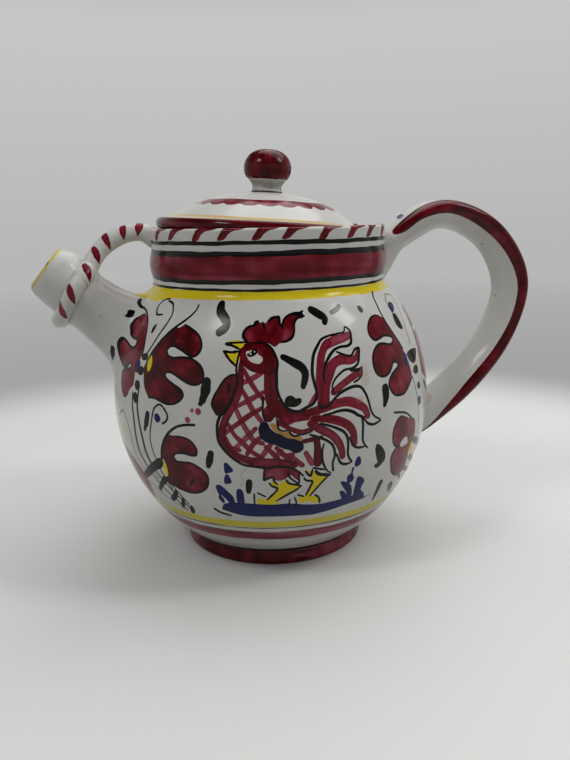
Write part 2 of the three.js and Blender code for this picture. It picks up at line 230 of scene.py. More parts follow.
class Band(Mark):
    """A band all round the panel between two nearly level edges."""

    def __init__(self, pigment, low, high, span, wash, cover, wobble, seed):
        Mark.__init__(self, pigment, None, None, wash, cover, 0, seed)
        self.span = span
        self.edges = [(low, wobble, seed + 11), (high, wobble, seed + 23)]

    def level(self, edge, u):
        height, wobble, seed = edge
        chance = np.random.default_rng(seed)
        turn = 2 * np.pi * (u - self.span[0]) / (self.span[1] - self.span[0])
        waves = sum(
            np.sin(count * turn + chance.uniform(0, 7)) / math.sqrt(index + 1)
            for index, count in enumerate((3, 7, 12, 19, 31))
        )
        return height + wobble * waves / 2

    def covers(self, points):
        u, v = points.T
        return (v > self.level(self.edges[0], u)) & (v < self.level(self.edges[1], u))

    def thickness(self, points):
        u, v = points.T
        grain = ripple(u / 9, v / 0.9, self.seed) + 0.6 * ripple(u / 3, v / 2, self.seed + 5)
        if self.wash:
            return self.cover * np.clip(1.05 + 0.26 * grain, 0.3, 2)
        return np.full(len(points), self.cover)


class Paint:
    """The marks on one panel, in painting order; x of a point is times across."""

    def __init__(self, span, across=1.0):
        self.marks = []
        self.span = span
        self.across = across

    def panel(self, points):
        return np.array(points, float) * (self.across, 1.0)

    def fill(self, pigment, points, cover=1.0, wash=False):
        outline = curve(self.panel(points), 0.6, True)
        self.marks.append(Mark(pigment, outline, None, wash, cover, 0, len(self.marks)))

    def line(self, pigment, points, *widths, cover=1.0, wash=False, fade=0.0):
        spine = curve(self.panel(points), 0.7)
        share = lengths(spine) / lengths(spine)[-1]
        stations = np.linspace(0, 1, max(2, len(widths)))
        half = np.interp(share, stations, np.resize(widths, len(stations))) / 2
        half = half * (1 + 0.09 * ripple(share * 9, share * 0, len(self.marks) + 400))
        way = np.gradient(spine, axis=0)
        way /= np.linalg.norm(way, axis=1)[:, None]
        side = np.stack([-way[:, 1], way[:, 0]], 1) * half[:, None]
        turn = np.linspace(np.pi / 2, -np.pi / 2, 7)[1:-1, None]
        tail, head = (
            spine[end] + sign * half[end] * way[end] * np.cos(turn) + sign * side[end] * np.sin(turn)
            for end, sign in ((-1, 1), (0, -1))
        )
        outline = np.vstack([spine + side, tail, (spine - side)[::-1], head])
        self.marks.append(Mark(pigment, outline, spine, wash, cover, fade, len(self.marks)))

    def oval(self, pigment, centre, wide, high, cover=1.0, wash=False):
        turn = np.linspace(0, 2 * np.pi, 9)[:-1]
        wobble = 1 + 0.08 * np.sin(2.3 * turn + len(self.marks))
        around = np.stack([wide * wobble * np.cos(turn), high * wobble * np.sin(turn)], 1)
        self.fill(pigment, np.array(centre) + around, cover, wash)

    def band(self, pigment, low, high, cover=1.0, wash=False, wobble=0.15):
        self.marks.append(Band(pigment, low, high, self.span, wash, cover, wobble, len(self.marks)))

    def wash(self, points, cover):
        """A thin crimson shape."""
        self.fill(CRIMSON, points, cover, True)

    def wash_line(self, points, *widths, cover, fade=0.0):
        """A thin crimson stroke."""
        self.line(CRIMSON, points, *widths, cover=cover, wash=True, fade=fade)

    def wash_band(self, low, high, cover, wobble):
        """A thin crimson band."""
        self.band(CRIMSON, low, high, cover, True, wobble)

    def coat(self, corners, base):
        """Colour of each triangle corner; where washes cross, the thinner one adds little."""
        centre = corners.mean(1)
        colour = np.tile(np.array(base), corners.shape[:2] + (1,))
        film = np.zeros(corners.shape[:2] + (1,))
        for mark in self.marks:
            hit = np.flatnonzero(mark.covers(centre))
            if len(hit):
                cover = mark.thickness(corners[hit].reshape(-1, 2)).reshape(-1, 3, 1)
                if mark.wash:
                    film[hit] = np.maximum(film[hit], cover) + 0.14 * np.minimum(film[hit], cover)
                else:
                    below = colour[hit] * CRIMSON ** film[hit]
                    colour[hit] = below * (1 - cover) + mark.pigment * cover
                    film[hit] = 0
        return colour * CRIMSON ** film


def grid(low, high, step, across=None):
    """Staggered points in a rectangle; across(v) is how much wider apart they lie along a row."""
    rows = []
    count = max(1, int(round((high[1] - low[1]) / step)))
    for index in range(count):
        v = low[1] + (high[1] - low[1]) * (index + 0.5) / count
        pace = step * (across(v) if across else 1)
        number = max(3, int(round((high[0] - low[0]) / pace)))
        u = low[0] + (high[0] - low[0]) * (np.arange(number) + (0.3 if index % 2 else 0.7)) / number
        rows.append(np.stack([u, np.full(number, v)], 1))
    return np.vstack(rows)


def strip(span, low, high, step, across=None):
    """Staggered points all round a panel between two levels."""
    return grid((span[0], low), (span[1], high), step, across)


def widening(radius, line, least=4):
    """How much wider apart points may lie where a turned line comes near its axis."""
    return lambda v: radius / max(least, line.at(v)[0])


def sheet(span, points, paint, holes):
    """Triangles of a flat sheet, cut along the edge of every mark and hole: points and faces."""
    u0, u1, v0, v1 = span
    corners, edges = [], []

    def add(line, closed):
        first = len(corners)
        corners.extend(map(tuple, line))
        count = len(line)
        edges.extend((first + i, first + (i + 1) % count) for i in range(count if closed else count - 1))

    rise = np.linspace(v0, v1, max(3, int((v1 - v0) / 2)))
    run = np.linspace(u0, u1, max(9, int((u1 - u0) / 4)))
    border = np.vstack([
        np.stack([run[:-1], np.full(len(run) - 1, v0)], 1),
        np.stack([np.full(len(rise) - 1, u1), rise[:-1]], 1),
        np.stack([run[:0:-1], np.full(len(run) - 1, v1)], 1),
        np.stack([np.full(len(rise) - 1, u0), rise[:0:-1]], 1),
    ])
    add(border, True)
    for hole in holes:
        add(hole, True)
    for mark in paint.marks:
        if isinstance(mark, Band):
            u = np.linspace(u0, u1, max(24, int((u1 - u0) / 2.5)))
            for edge in mark.edges:
                add(np.stack([u, mark.level(edge, u)], 1), False)
        else:
            add(mark.outline, True)
    cell = 0.55
    taken = {(int(x // cell), int(y // cell)) for x, y in corners}
    corners.extend(tuple(p) for p in points if (int(p[0] // cell), int(p[1] // cell)) not in taken)
    flat, _, faces, *_ = delaunay_2d_cdt([Vector(c) for c in corners], edges, [], 0, 1e-4)
    flat = np.array([tuple(p) for p in flat])
    faces = np.array(faces)
    centre = flat[faces].mean(1)
    keep = (centre[:, 0] > u0) & (centre[:, 0] < u1) & (centre[:, 1] > v0) & (centre[:, 1] < v1)
    for hole in holes:
        keep &= ~inside(centre, hole)
    return flat, faces[keep]


def plain_layout(span):
    """Texture places of a panel laid out as it is."""
    u0, u1, v0, v1 = span

    def layout(corners):
        return 0.01 + 0.98 * (corners - (u0, v0)) / (u1 - u0, v1 - v0)

    return layout


def build(name, place, span, paint, points, base=WHITE, holes=(), join=None, layout=None):
    """A closed painted mesh: a flat panel cut by its marks, coloured, then bent by place(u, v)."""
    flat, faces = sheet(span, points, paint, holes)
    corners = flat[faces]
    colour = paint.coat(corners, base)
    texture = (layout or plain_layout(span))(corners)
    if join is not None:
        first, second = join
        seam = [np.stack([first, np.roll(first, -1, 0), np.roll(second, -1, 0)], 1),
                np.stack([first, np.roll(second, -1, 0), second], 1)]
        extra = np.vstack(seam)
        corners = np.vstack([corners, extra])
        colour = np.vstack([colour, np.tile(np.array(base), extra.shape[:2] + (1,))])
        texture = np.vstack([texture, np.full(extra.shape, 0.004)])
    spots = corners.reshape(-1, 2)
    where = place(spots[:, 0], spots[:, 1])
    small = 0.05
    along = place(spots[:, 0] + small, spots[:, 1]) - place(spots[:, 0] - small, spots[:, 1])
    up = place(spots[:, 0], spots[:, 1] + small) - place(spots[:, 0], spots[:, 1] - small)
    normal = np.cross(along, up)
    size = np.linalg.norm(normal, axis=1)
    normal[size < 1e-9] = 0
    steps = np.round(where * WELD_STEPS + WELD_SHIFT).astype(np.int64)
    _, first, index = np.unique(steps, axis=0, return_index=True, return_inverse=True)
    index = index.reshape(-1)
    vertices = where[first]
    normals = np.zeros_like(vertices)
    np.add.at(normals, index, normal / np.maximum(size, 1e-9)[:, None])
    triangles = index.reshape(-1, 3)
    a, b, c = triangles.T
    area = np.linalg.norm(np.cross(vertices[b] - vertices[a], vertices[c] - vertices[a]), axis=1)
    good = (a != b) & (b != c) & (c != a) & (area > 1e-7)
    return make_piece(name, vertices, normals, triangles[good], colour[good], texture[good])


def make_piece(name, vertices, normals, triangles, colour, texture):
    """A smooth mesh object with its paint and its texture places."""
    mesh = bpy.data.meshes.new(name)
    mesh.vertices.add(len(vertices))
    mesh.vertices.foreach_set("co", (vertices * 0.001).astype(np.float32).ravel())
    mesh.loops.add(triangles.size)
    mesh.loops.foreach_set("vertex_index", triangles.astype(np.int32).ravel())
    mesh.polygons.add(len(triangles))
    mesh.polygons.foreach_set("loop_start", np.arange(0, triangles.size, 3, dtype=np.int32))
    mesh.update(calc_edges=True)
    tint = mesh.color_attributes.new("paint", "FLOAT_COLOR", "CORNER")
    rgba = np.concatenate([colour, np.ones(colour.shape[:2] + (1,))], 2)
    tint.data.foreach_set("color", rgba.astype(np.float32).ravel())
    uv = mesh.uv_layers.new(name="OFBake")
    uv.data.foreach_set("uv", texture.astype(np.float32).ravel())
    size = np.linalg.norm(normals, axis=1)
    normals[size < 1e-6] = (0, 0, 1)
    normals /= np.maximum(np.linalg.norm(normals, axis=1), 1e-9)[:, None]
    mesh.polygons.foreach_set("use_smooth", np.ones(len(triangles), bool))
    mesh.normals_split_custom_set_from_vertices(normals.tolist())
    piece = bpy.data.objects.new(name, mesh)
    bpy.context.scene.collection.objects.link(piece)
    return piece


class Profile:
    """A line of (radius, height) turned round an axis, measured along its length."""

    def __init__(self, points, zero=None):
        line = np.array(points, float)
        line = line[np.concatenate([[True], np.linalg.norm(np.diff(line, axis=0), axis=1) > 1e-6])]
        self.line = line
        self.way = lengths(line)
        if zero is not None:
            self.way = self.way - self.way[np.linalg.norm(line - zero, axis=1).argmin()]
        self.low, self.high = self.way[0], self.way[-1]

    def at(self, way):
        return np.interp(way, self.way, self.line[:, 0]), np.interp(way, self.way, self.line[:, 1])

    def way_at(self, height, part=slice(None)):
        order = np.argsort(self.line[part, 1])
        return float(np.interp(height, self.line[part, 1][order], self.way[part][order]))


def arc(radius, height, size, start, end, count=8):
    """Points of a rounded corner in a profile."""
    turn = np.radians(np.linspace(start, end, count))
    return np.stack([radius + size * np.cos(turn), height + size * np.sin(turn)], 1)


# Materials
def link(tree, *pairs):
    """Join sockets in pairs of source and target."""
    for source, target in pairs:
        tree.links.new(source, target)


def node(tree, kind, **values):
    """A new node; values named in_ go to its sockets, the others to its settings."""
    made = tree.nodes.new(kind)
    for key, value in values.items():
        if key.startswith("in_"):
            made.inputs[int(key[3:]) if key[3:].isdigit() else key[3:]].default_value = value
        else:
            setattr(made, key, value)
    return made


def painted_glaze(name, roughness, speckle):
    """Brush colours under glossy glaze: cloudy tint, dust specks, uneven gloss and a faintly rippled skin."""
    material = bpy.data.materials.new(name)
    material.use_nodes = True
    tree = material.node_tree
    shader = tree.nodes["Principled BSDF"]
    paint = node(tree, "ShaderNodeVertexColor", layer_name="paint")
    place = node(tree, "ShaderNodeTexCoord").outputs["Object"]
    clouds = node(tree, "ShaderNodeTexNoise", in_Scale=34.0, in_Detail=4.0, in_Roughness=0.6)
    tone = node(tree, "ShaderNodeMapRange", in_1=0.3, in_2=0.7, in_3=0.93, in_4=1.04)
    tinted = node(tree, "ShaderNodeMix", data_type="RGBA", blend_type="MULTIPLY", in_0=1.0)
    specks = node(tree, "ShaderNodeTexNoise", in_Scale=420.0, in_Detail=2.0)
    dots = node(tree, "ShaderNodeMapRange", in_1=0.7, in_2=0.78, in_3=0.0, in_4=speckle)
    specked = node(tree, "ShaderNodeMix", data_type="RGBA", in_7=(*(TAN * 0.5), 1))
    gloss = node(tree, "ShaderNodeTexNoise", in_Scale=70.0, in_Detail=3.0)
    rough = node(tree, "ShaderNodeMapRange", in_1=0.3, in_2=0.7, in_3=roughness * 0.7, in_4=roughness * 1.5)
    skin = node(tree, "ShaderNodeTexNoise", in_Scale=260.0, in_Detail=2.0)
    bump = node(tree, "ShaderNodeBump", in_Strength=0.06, in_Distance=0.0006)
    shader.inputs["IOR"].default_value = 1.5
    shader.inputs["Specular IOR Level"].default_value = 0.2
    link(
        tree,
        *((place, texture.inputs["Vector"]) for texture in (clouds, specks, gloss, skin)),
        (clouds.outputs["Fac"], tone.inputs["Value"]),
        (paint.outputs["Color"], tinted.inputs[6]),
        (tone.outputs["Result"], tinted.inputs[7]),
        (specks.outputs["Fac"], dots.inputs["Value"]),
        (dots.outputs["Result"], specked.inputs["Factor"]),
        (tinted.outputs[2], specked.inputs[6]),
        (specked.outputs[2], shader.inputs["Base Color"]),
        (gloss.outputs["Fac"], rough.inputs["Value"]),
        (rough.outputs["Result"], shader.inputs["Roughness"]),
        (skin.outputs["Fac"], bump.inputs["Height"]),
        (bump.outputs["Normal"], shader.inputs["Normal"]),
    )
    return material


GLAZE = painted_glaze("painted_glaze", 0.14, 0.35)


def finish_piece(piece, body, solid):
    """Glaze a piece and let it stand in for a solid on its body."""
    piece.data.materials.append(GLAZE)
    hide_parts(solid)
    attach(piece, body)


# Pot
def belly(height, growth=0.0):
    """Radius of the belly's oval at a height."""
    half = np.where(height > BELLY_HEIGHT, BELLY_UPPER, BELLY_LOWER) + growth
    return (BELLY_RADIUS + growth) * np.sqrt(np.maximum(0, 1 - ((height - BELLY_HEIGHT) / half) ** 2))


def belly_line(start, end, growth=0.0):
    """Points of the belly between two heights."""
    heights = BELLY_HEIGHT + np.linspace(start - BELLY_HEIGHT, end - BELLY_HEIGHT, 240)
    heights[np.abs(heights - BELLY_HEIGHT).argmin()] = BELLY_HEIGHT
    return np.stack([belly(heights, growth), heights], 1)


swell_heights = np.linspace(0, 1, 24)
pot = Profile(np.vstack([
    [[AT_AXIS, POT_BASE], [20, POT_BASE]],
    belly_line(POT_BASE, BELLY_END),
    curve([
        (belly(BELLY_END), BELLY_END),
        (NECK_RADIUS + 1.3, BELLY_END + 2.2),
        (NECK_RADIUS + 0.3, BELLY_END + 4),
        (NECK_RADIUS, BELLY_END + 6),
        (NECK_RADIUS, BAND_START),
    ])[1:],
    np.stack([
        NECK_RADIUS + BAND_SWELL * np.sin(np.pi * swell_heights) ** 0.8,
        BAND_START + BAND_HEIGHT * swell_heights,
    ], 1)[1:],
    [
        [NECK_RADIUS + 0.2, BAND_START + BAND_HEIGHT + 2], [RIM_RADIUS, RIM_TOP - 4],
        [RIM_RADIUS, RIM_TOP - 1.4],
    ],
    arc(RIM_RADIUS - LIP_ROUND, RIM_TOP - LIP_ROUND, LIP_ROUND, 0, 90),
    arc(GALLERY_RADIUS + LIP_ROUND, RIM_TOP - LIP_ROUND, LIP_ROUND, 90, 180),
    arc(GALLERY_RADIUS - 0.8, LEDGE + 0.8, 0.8, 0, -90, 5),
    arc(MOUTH_RADIUS + 0.8, LEDGE - 0.8, 0.8, 90, 180, 5),
    [[MOUTH_RADIUS, LEDGE - 4], [NECK_RADIUS - WALL, LEDGE - 8]],
    belly_line(BELLY_HEIGHT + (BELLY_UPPER - WALL) * 0.716, POT_BASE + FLOOR, -WALL),
    [[20, POT_BASE + FLOOR], [AT_AXIS, POT_BASE + FLOOR]],
]), (BELLY_RADIUS, BELLY_HEIGHT))
POT_SPAN = (-180 * DEGREE, 180 * DEGREE, pot.low, pot.high)
RIM_WAY = pot.way[pot.line[:, 1].argmax()]
INSIDE = slice(int(pot.line[:, 1].argmax()), None)

# Spout axis: root on the belly, direction to the mouth, and the two directions across it
ROOT = np.array([-belly(np.array(SPOUT_HEIGHT)), 0, SPOUT_HEIGHT])
AXIS = np.array([-math.cos(SPOUT_SLOPE), 0, math.sin(SPOUT_SLOPE)])
OVER = np.array([math.sin(SPOUT_SLOPE), 0, math.cos(SPOUT_SLOPE)])
NEAR = np.array([0, -1.0, 0])

# Where the belly starts to rise into the spout, and the hidden hole in the middle, on the pot's panel
SPREAD_CENTRE = np.array([-90 * DEGREE, 31.7])
SPREAD_SIZE = np.array([23.5, 22.8])
SPREAD_HOLE = 0.55
tube_line = curve([
    (0, 14.4), (9.6, 13.4), (18.8, 12.9), (27, 12.45), (35, 12.1), (39.5, 11.65), (42.4, 10.8),
], 0.3)


def tube(way):
    """The spout's radius at a distance from its root."""
    return np.interp(way, tube_line[:, 0], tube_line[:, 1])


def spout_ring(turn, way, radius):
    """Points round the spout; turn is the angle from the near side towards the top."""
    out = np.cos(turn)[:, None] * NEAR + np.sin(turn)[:, None] * OVER
    return ROOT + way[:, None] * AXIS + radius[:, None] * out


def spout_start(turn):
    """Where the drawn-out belly ends on the spout."""
    return 16.0 + 8.0 * np.sin(turn)


def turned_pot(u, v):
    """The pot's skin before the spout, a little uneven as thrown by hand."""
    turn = u / BELLY_RADIUS
    radius, height = pot.at(v)
    hand = 0.12 * np.sin(2 * turn + 0.4) + 0.08 * np.sin(3 * turn + v / 25) + 0.05 * np.sin(v / 3.1)
    radius = radius + hand * np.clip(radius / 40, 0, 1) * (v < RIM_WAY + 3)
    return np.stack([radius * np.sin(turn), -radius * np.cos(turn), height], 1)


def pot_place(u, v):
    """The pot's skin, drawn out into the spout round its root."""
    where = turned_pot(u, v)
    away = (np.stack([u, v], 1) - SPREAD_CENTRE) / SPREAD_SIZE
    reach = np.linalg.norm(away, axis=1)
    drawn = np.flatnonzero(reach < 1)
    if len(drawn):
        turn = np.arctan2(away[drawn, 1], away[drawn, 0])
        t = np.clip((reach[drawn] - SPREAD_HOLE) / (1 - SPREAD_HOLE), 0, 1)[:, None]
        edge = SPREAD_CENTRE + SPREAD_SIZE * np.stack([np.cos(turn), np.sin(turn)], 1)
        inner = SPREAD_CENTRE + 0.96 * SPREAD_SIZE * np.stack([np.cos(turn), np.sin(turn)], 1)
        end = turned_pot(*edge.T)
        slide = turned_pot(*inner.T) - end
        slide /= np.linalg.norm(slide, axis=1)[:, None]
        way = spout_start(turn)
        start = spout_ring(turn, way, tube(way))
        lead = spout_ring(turn, way - 1, tube(way - 1)) - start
        lead /= np.linalg.norm(lead, axis=1)[:, None]
        pull = 0.32 * np.linalg.norm(end - start, axis=1)[:, None]
        where[drawn] = (
            (1 - t) ** 3 * start + 3 * t * (1 - t) ** 2 * (start + pull * lead)
            + 3 * t**2 * (1 - t) * (end + pull * slide) + t**3 * end
        )
    return where


ring_turns = np.linspace(0, 2 * np.pi, 72, endpoint=False)
ring_round = np.stack([np.cos(ring_turns), np.sin(ring_turns)], 1)
spout_gap = SPREAD_CENTRE + SPREAD_HOLE * SPREAD_SIZE * ring_round
pour_centre = np.array([-90 * DEGREE, pot.way_at(98.2, INSIDE)])
pour_gap = pour_centre + np.array([10.2, -8.9]) * ring_round


def paint_bands(paint):
    """Bands round the pot and the slanting stripes under the rim."""
    paint.band(DULL_YELLOW, -46.6, -42.4)
    paint.band(BLACK, -47.5, -46.8, 0.95, wobble=0.2)
    paint.band(BLACK, -50.7, -50.1, 0.9, wobble=0.2)
    paint.wash_band(-57.2, -50.6, 0.66, 0.25)
    paint.band(GREY, -59.0, -58.5, 0.6, wobble=0.2)
    paint.band(BLACK, -72.6, -70.6, 1.0, wobble=0.3)
    paint.band(YELLOW, 53.2, 57.0)
    for away in (-1, 1):
        paint.fill(YELLOW, [(-90 + away * x, h) for x, h in (
            (-2, 55), (0.5, 51.3), (8.5, 50.7), (18, 50.2), (24, 50.6), (30, 52.4), (36, 53.6), (36, 55.5),
            (12, 56),
        )])
    paint.band(BLACK, 57.0, 58.0, wobble=0.2)
    paint.wash_band(61.0, 70.9, 0.8, 0.25)
    for low, high, cover in ((63.3, 70.9, 0.42), (64.0, 65.3, 0.16), (66.6, 67.4, 0.14), (68.2, 70.9, 0.2)):
        paint.wash_band(low, high, cover, 0.45)
    paint.band(BLACK, 59.7, 61.6, wobble=0.25)
    paint.band(BLACK, 70.6, 72.9, wobble=0.3)
    paint.band(BLACK, 75.1, 76.8, wobble=0.25)
    for a in (
        -178, -163, -147, -133, -118, -104, -74, -60, -44.2, -31.5, -16.3, -3.8, 12.5, 27.2, 40.2, 56, 70,
        106, 121, 136, 151, 166,
    ):
        lean = 9.3 + 1.3 * math.sin(1.7 * a)
        low = 77.1 + 0.3 * math.sin(2.9 * a)
        paint.wash([
            (a - 0.3, low), (a + 1.6, low - 0.2), (a + 3.4, low + 0.5), (a + 4.6, 79), (a + 6.7, 80.4),
            (a + 2 + lean, 81.5), (a + 3.4 + lean, 82.8), (a + 3 + lean, 84.6), (a + 2.6, 84.7),
            (a + 2.6, 82.4), (a + 1.5, 80.2), (a + 0.3, 78.6),
        ], 0.8)
        paint.wash_line([
            (a + 1.2, low + 0.8), (a + 2.4, 79.6), (a + 4, 81.8), (a + 5.2, 84),
        ], 0.8, 1.2, 0.9, cover=0.95)


# Covers of the bird's full and thin washes
FULL = 0.9
THIN = 0.55

# Free edge of the lobe on the bird's breast
LOBE = [
    (-20.8, 22.7), (-22.4, 22.6), (-24.3, 20.9), (-26.3, 17.3), (-27.9, 13.6), (-28.3, 10.9), (-27.9, 9.5),
]


def paint_cockerel(paint):
    """The bird: washes first, then the colours, then its black outline."""
    paint_breast(paint)
    paint_thigh(paint)
    paint_lobe_and_comb(paint)
    paint_tail(paint)
    paint_head(paint)
    paint_wing(paint)
    paint_legs(paint)
    paint_ground(paint)
    paint_outline(paint)


def paint_breast(paint):
    """Bands inside the outline, then the crossing strokes."""
    paint.wash([
        (-20, 31.5), (-19.5, 33.5), (-17.7, 35.2), (-14.9, 35.4), (-11.3, 34.5), (-9.5, 32.7), (-8.4, 30),
        (-7.9, 27.5), (-8.1, 24), (-10, 22.5), (-13, 23.2), (-15.5, 23.8), (-18, 25.5), (-19.9, 28),
    ], 1.1)
    paint.wash_line([
        (-19.2, 27), (-19.4, 24), (-19.2, 20), (-20, 15), (-21.8, 10.5), (-24.2, 5), (-25.2, 0),
        (-24.6, -4), (-22, -8), (-18, -10.5), (-13, -11.5), (-8, -11.8), (-3.5, -13),
    ], 2.2, 2.6, 3.2, 3.6, 3.4, cover=FULL)
    paint.wash_line([(-10.4, 27), (-10.3, 20), (-10, 14), (-9.2, 9.5)], 4.4, 4.8, 4.2, cover=1.1)
    for stroke in (
        [(-19.9, 19.1), (-16.3, 21), (-12.7, 23.6)], [(-20.9, 10.5), (-17, 13), (-12.4, 16.1)],
        [(-24.3, 0.2), (-20.2, 4.1), (-16.3, 7.7), (-13.1, 10)],
        [(-21.3, -5.7), (-18.1, -1.8), (-14.9, 2.3)],
        [(-17.7, -8), (-15.9, -4.1), (-13.8, -1.4)], [(-13.4, -9.5), (-11.6, -5.9), (-10.6, -4.3)],
        [(-9.1, -9.5), (-7.4, -6.8)], [(-5.6, -11.4), (-3.8, -8.2)],
        [(-18.4, 24.5), (-16.3, 20), (-14.1, 15.9), (-12.5, 13.6)],
        [(-19.5, 18.2), (-17.7, 14.5), (-15.9, 10), (-14.9, 8.2), (-13.1, 5)],
        [(-21.6, 12.3), (-19.9, 7.3), (-17.7, 1.8), (-15.6, -2.3), (-13, -3.6)],
        [(-23.1, 3.6), (-21.3, -0.5), (-18.8, -3.6), (-16.6, -6.8), (-13.4, -9.5)],
        [(-24.3, -1.4), (-22.7, -5.5), (-20, -6.5)],
        [(-12, -5), (-9.1, -9.1), (-7.4, -12)], [(-8.8, -5.7), (-5.6, -10), (-4, -12.6)],
    ):
        paint.wash_line(stroke, 1.7, 2.2, 1.8, cover=THIN)
    paint.wash_line([(-5, -9), (-1, -13.5)], 2.5, 2.2, cover=THIN)


def paint_thigh(paint):
    """Shoulder, thigh and the fringe under it."""
    paint.wash([
        (-12.4, 9.5), (-10.3, 12), (-8.2, 13.4), (-6.6, 11), (-5, 9), (-2.5, 7.9), (0, 8.6), (1.2, 7),
        (1.2, 5), (-1, 4.6), (-3.5, 4.2), (-6, 3), (-8, 5.5), (-8.6, 7), (-10.5, 4.8), (-12, 5.2),
    ], FULL)
    paint.wash_line([(-8, 4.5), (-4.5, 1.8), (-1, 0.2), (1.5, 0.9)], 2.0, 2.2, cover=FULL)
    paint.wash_line([(-0.9, -3.6), (2, -3), (5, -2.4)], 1.8, 2.0, 1.4, cover=FULL)
    paint.wash_line([(3.4, -3.2), (3.8, -8), (3.9, -13.2)], 2.8, 3.3, 3.3, cover=1.05)
    paint.wash_line([(0.1, -8.4), (1.2, -11), (2.1, -13)], 2.2, 2.6, cover=THIN)
    paint.wash([
        (-12.4, -14.5), (-12.7, -19.3), (-12.7, -19.3), (-10.7, -18.3), (-9.5, -19.5), (-8, -20),
        (-6.7, -19.5), (-5.6, -18.5), (-4.5, -17.5), (-3.4, -19), (-2.2, -20.2), (-2.2, -20.2), (-1.8, -17),
        (-3, -15.3), (-5.6, -14.2),
    ], THIN)


def paint_lobe_and_comb(paint):
    """The lobe on the breast and the comb, in full washes."""
    under_lobe = [
        (-27.2, 7.5), (-26.1, 6.6), (-26.1, 6.6), (-23.6, 9.5), (-22.5, 12), (-21.3, 15.5), (-20.4, 18.6),
    ]
    paint.wash(LOBE + under_lobe, 1.25)
    paint.wash([
        (-17.7, 35.4), (-19, 37), (-19.2, 38.4), (-18.4, 40.5), (-16.6, 41.9), (-15.4, 42.5), (-14.3, 44),
        (-13.1, 43.2), (-10.4, 43.6), (-9.1, 45.1), (-6.5, 45.7), (-6.5, 45.7), (-6.3, 42.5), (-5.5, 40.7),
        (-5.5, 40.7), (-5.4, 42.5), (-4, 45.2), (-1.6, 46.7), (0.1, 47.2), (2.4, 47.3), (2.4, 47.3),
        (2.5, 45.3), (0.3, 44.8), (-1.1, 42.7), (-1.5, 39.3), (-2.5, 36.8), (-4.5, 35.4), (-6.5, 34.9),
        (-7.4, 34.1), (-8.6, 33.3), (-9.9, 34.3), (-12, 35.2), (-14.9, 35.5),
    ], FULL)


def paint_head(paint):
    """Eye, tip of the comb and beak."""
    paint.fill(WHITE, [
        (-17.9, 31.5), (-16.3, 32), (-14.5, 32.4), (-14, 30.5), (-12.7, 29.5), (-12.5, 28.2), (-13.6, 26.9),
        (-15.4, 27.3), (-17, 28.5),
    ])
    paint.fill(BLACK, [
        (-17.7, 30.4), (-16.3, 31.5), (-15.1, 33.1), (-14.3, 32.5), (-14.2, 31.1), (-15.2, 30),
        (-16.6, 29.5),
    ])
    paint.oval(WHITE, (-16.4, 30.7), 0.3, 0.4)
    paint.oval(WHITE, (-15.1, 31.6), 0.25, 0.3)
    paint.line(BLACK, [(-1, 46.2), (0.8, 46.6), (2.7, 47.7)], 1.0, 1.5, 0.8)
    paint.line(BLACK, [(0.4, 46), (1.8, 45.9), (3, 45.5)], 1.0, 1.1, 0.7)
    paint.fill(YELLOW, [
        (-25, 34.5), (-25, 34.5), (-23.4, 35.8), (-21.3, 36.1), (-19, 35.5), (-18.6, 34.5), (-19.9, 32.8),
        (-21.6, 33.5), (-23.4, 34.2),
    ])
    paint.fill(YELLOW, [
        (-25.5, 31.6), (-25.5, 31.6), (-20.2, 31.6), (-20.2, 31.6), (-19.9, 28.6), (-20.6, 26.6),
        (-21.3, 26.1), (-23.3, 28.6), (-24.9, 30.7),
    ])


def paint_wing(paint):
    """Dark wing with its ochre edge."""
    paint.fill(DARK_NAVY, [
        (-13.1, 4.8), (-14, 2.7), (-14, 0.5), (-13.3, -1.8), (-11.3, -3.6), (-9.1, -4.5), (-7, -5.9),
        (-4.9, -6.8), (-3.4, -8), (-2, -8), (-0.75, -6.8), (-0.6, -5), (-1.6, -3.2), (-3.4, -2.3),
        (-5.6, -1.6), (-7.4, -0.2), (-9.1, 0.7), (-10.6, 2.5), (-11.3, 4.5), (-12.2, 4.9),
    ])
    paint.fill(OCHRE, [
        (-10.6, 4.1), (-8.8, 4.1), (-8.1, 1.5), (-6.3, 0.6), (-5, 1), (-4.3, -0.6), (-2.4, -1.2),
        (-1.1, -1.6), (-1.3, -3.2), (-3.4, -2.3), (-5.6, -1.5), (-7.4, -0.2), (-9.1, 0.9), (-10.2, 2.5),
    ])


def paint_legs(paint):
    """Both legs."""
    paint.fill(YELLOW, [
        (-10.9, -20.9), (-9.9, -20.2), (-8.8, -21.6), (-7, -20.2), (-5.9, -20.5), (-4.9, -21.4),
        (-1.6, -22.7), (-1.3, -23.4), (-2.7, -24.5), (-5.9, -27.3), (-9.1, -29.8), (-7.7, -32.3),
        (-8.4, -33.6), (-9.9, -32.3), (-14.9, -31.6), (-15.75, -30.5), (-15.2, -28.6), (-12, -28.9),
        (-9.1, -24.5), (-8.8, -23.6), (-10.6, -21.8),
    ])
    paint.fill(YELLOW, [
        (0.5, -15.8), (0.1, -16.7), (1.9, -19.5), (2.5, -21.3), (1.9, -24), (0.9, -27.9), (0.1, -28.5),
        (-0.9, -27.9), (-2, -29.9), (-1.3, -31.3), (0.1, -31.7), (2.6, -31.5), (3.7, -32.9), (4.6, -32.9),
        (5.7, -31.7), (5.1, -29.9), (4.1, -29), (2.3, -28.3), (3.7, -25.8), (6.2, -21.7), (8, -19.5),
        (6.2, -18.8), (4.8, -18.3), (3.4, -16.3), (1.6, -16.3),
    ])


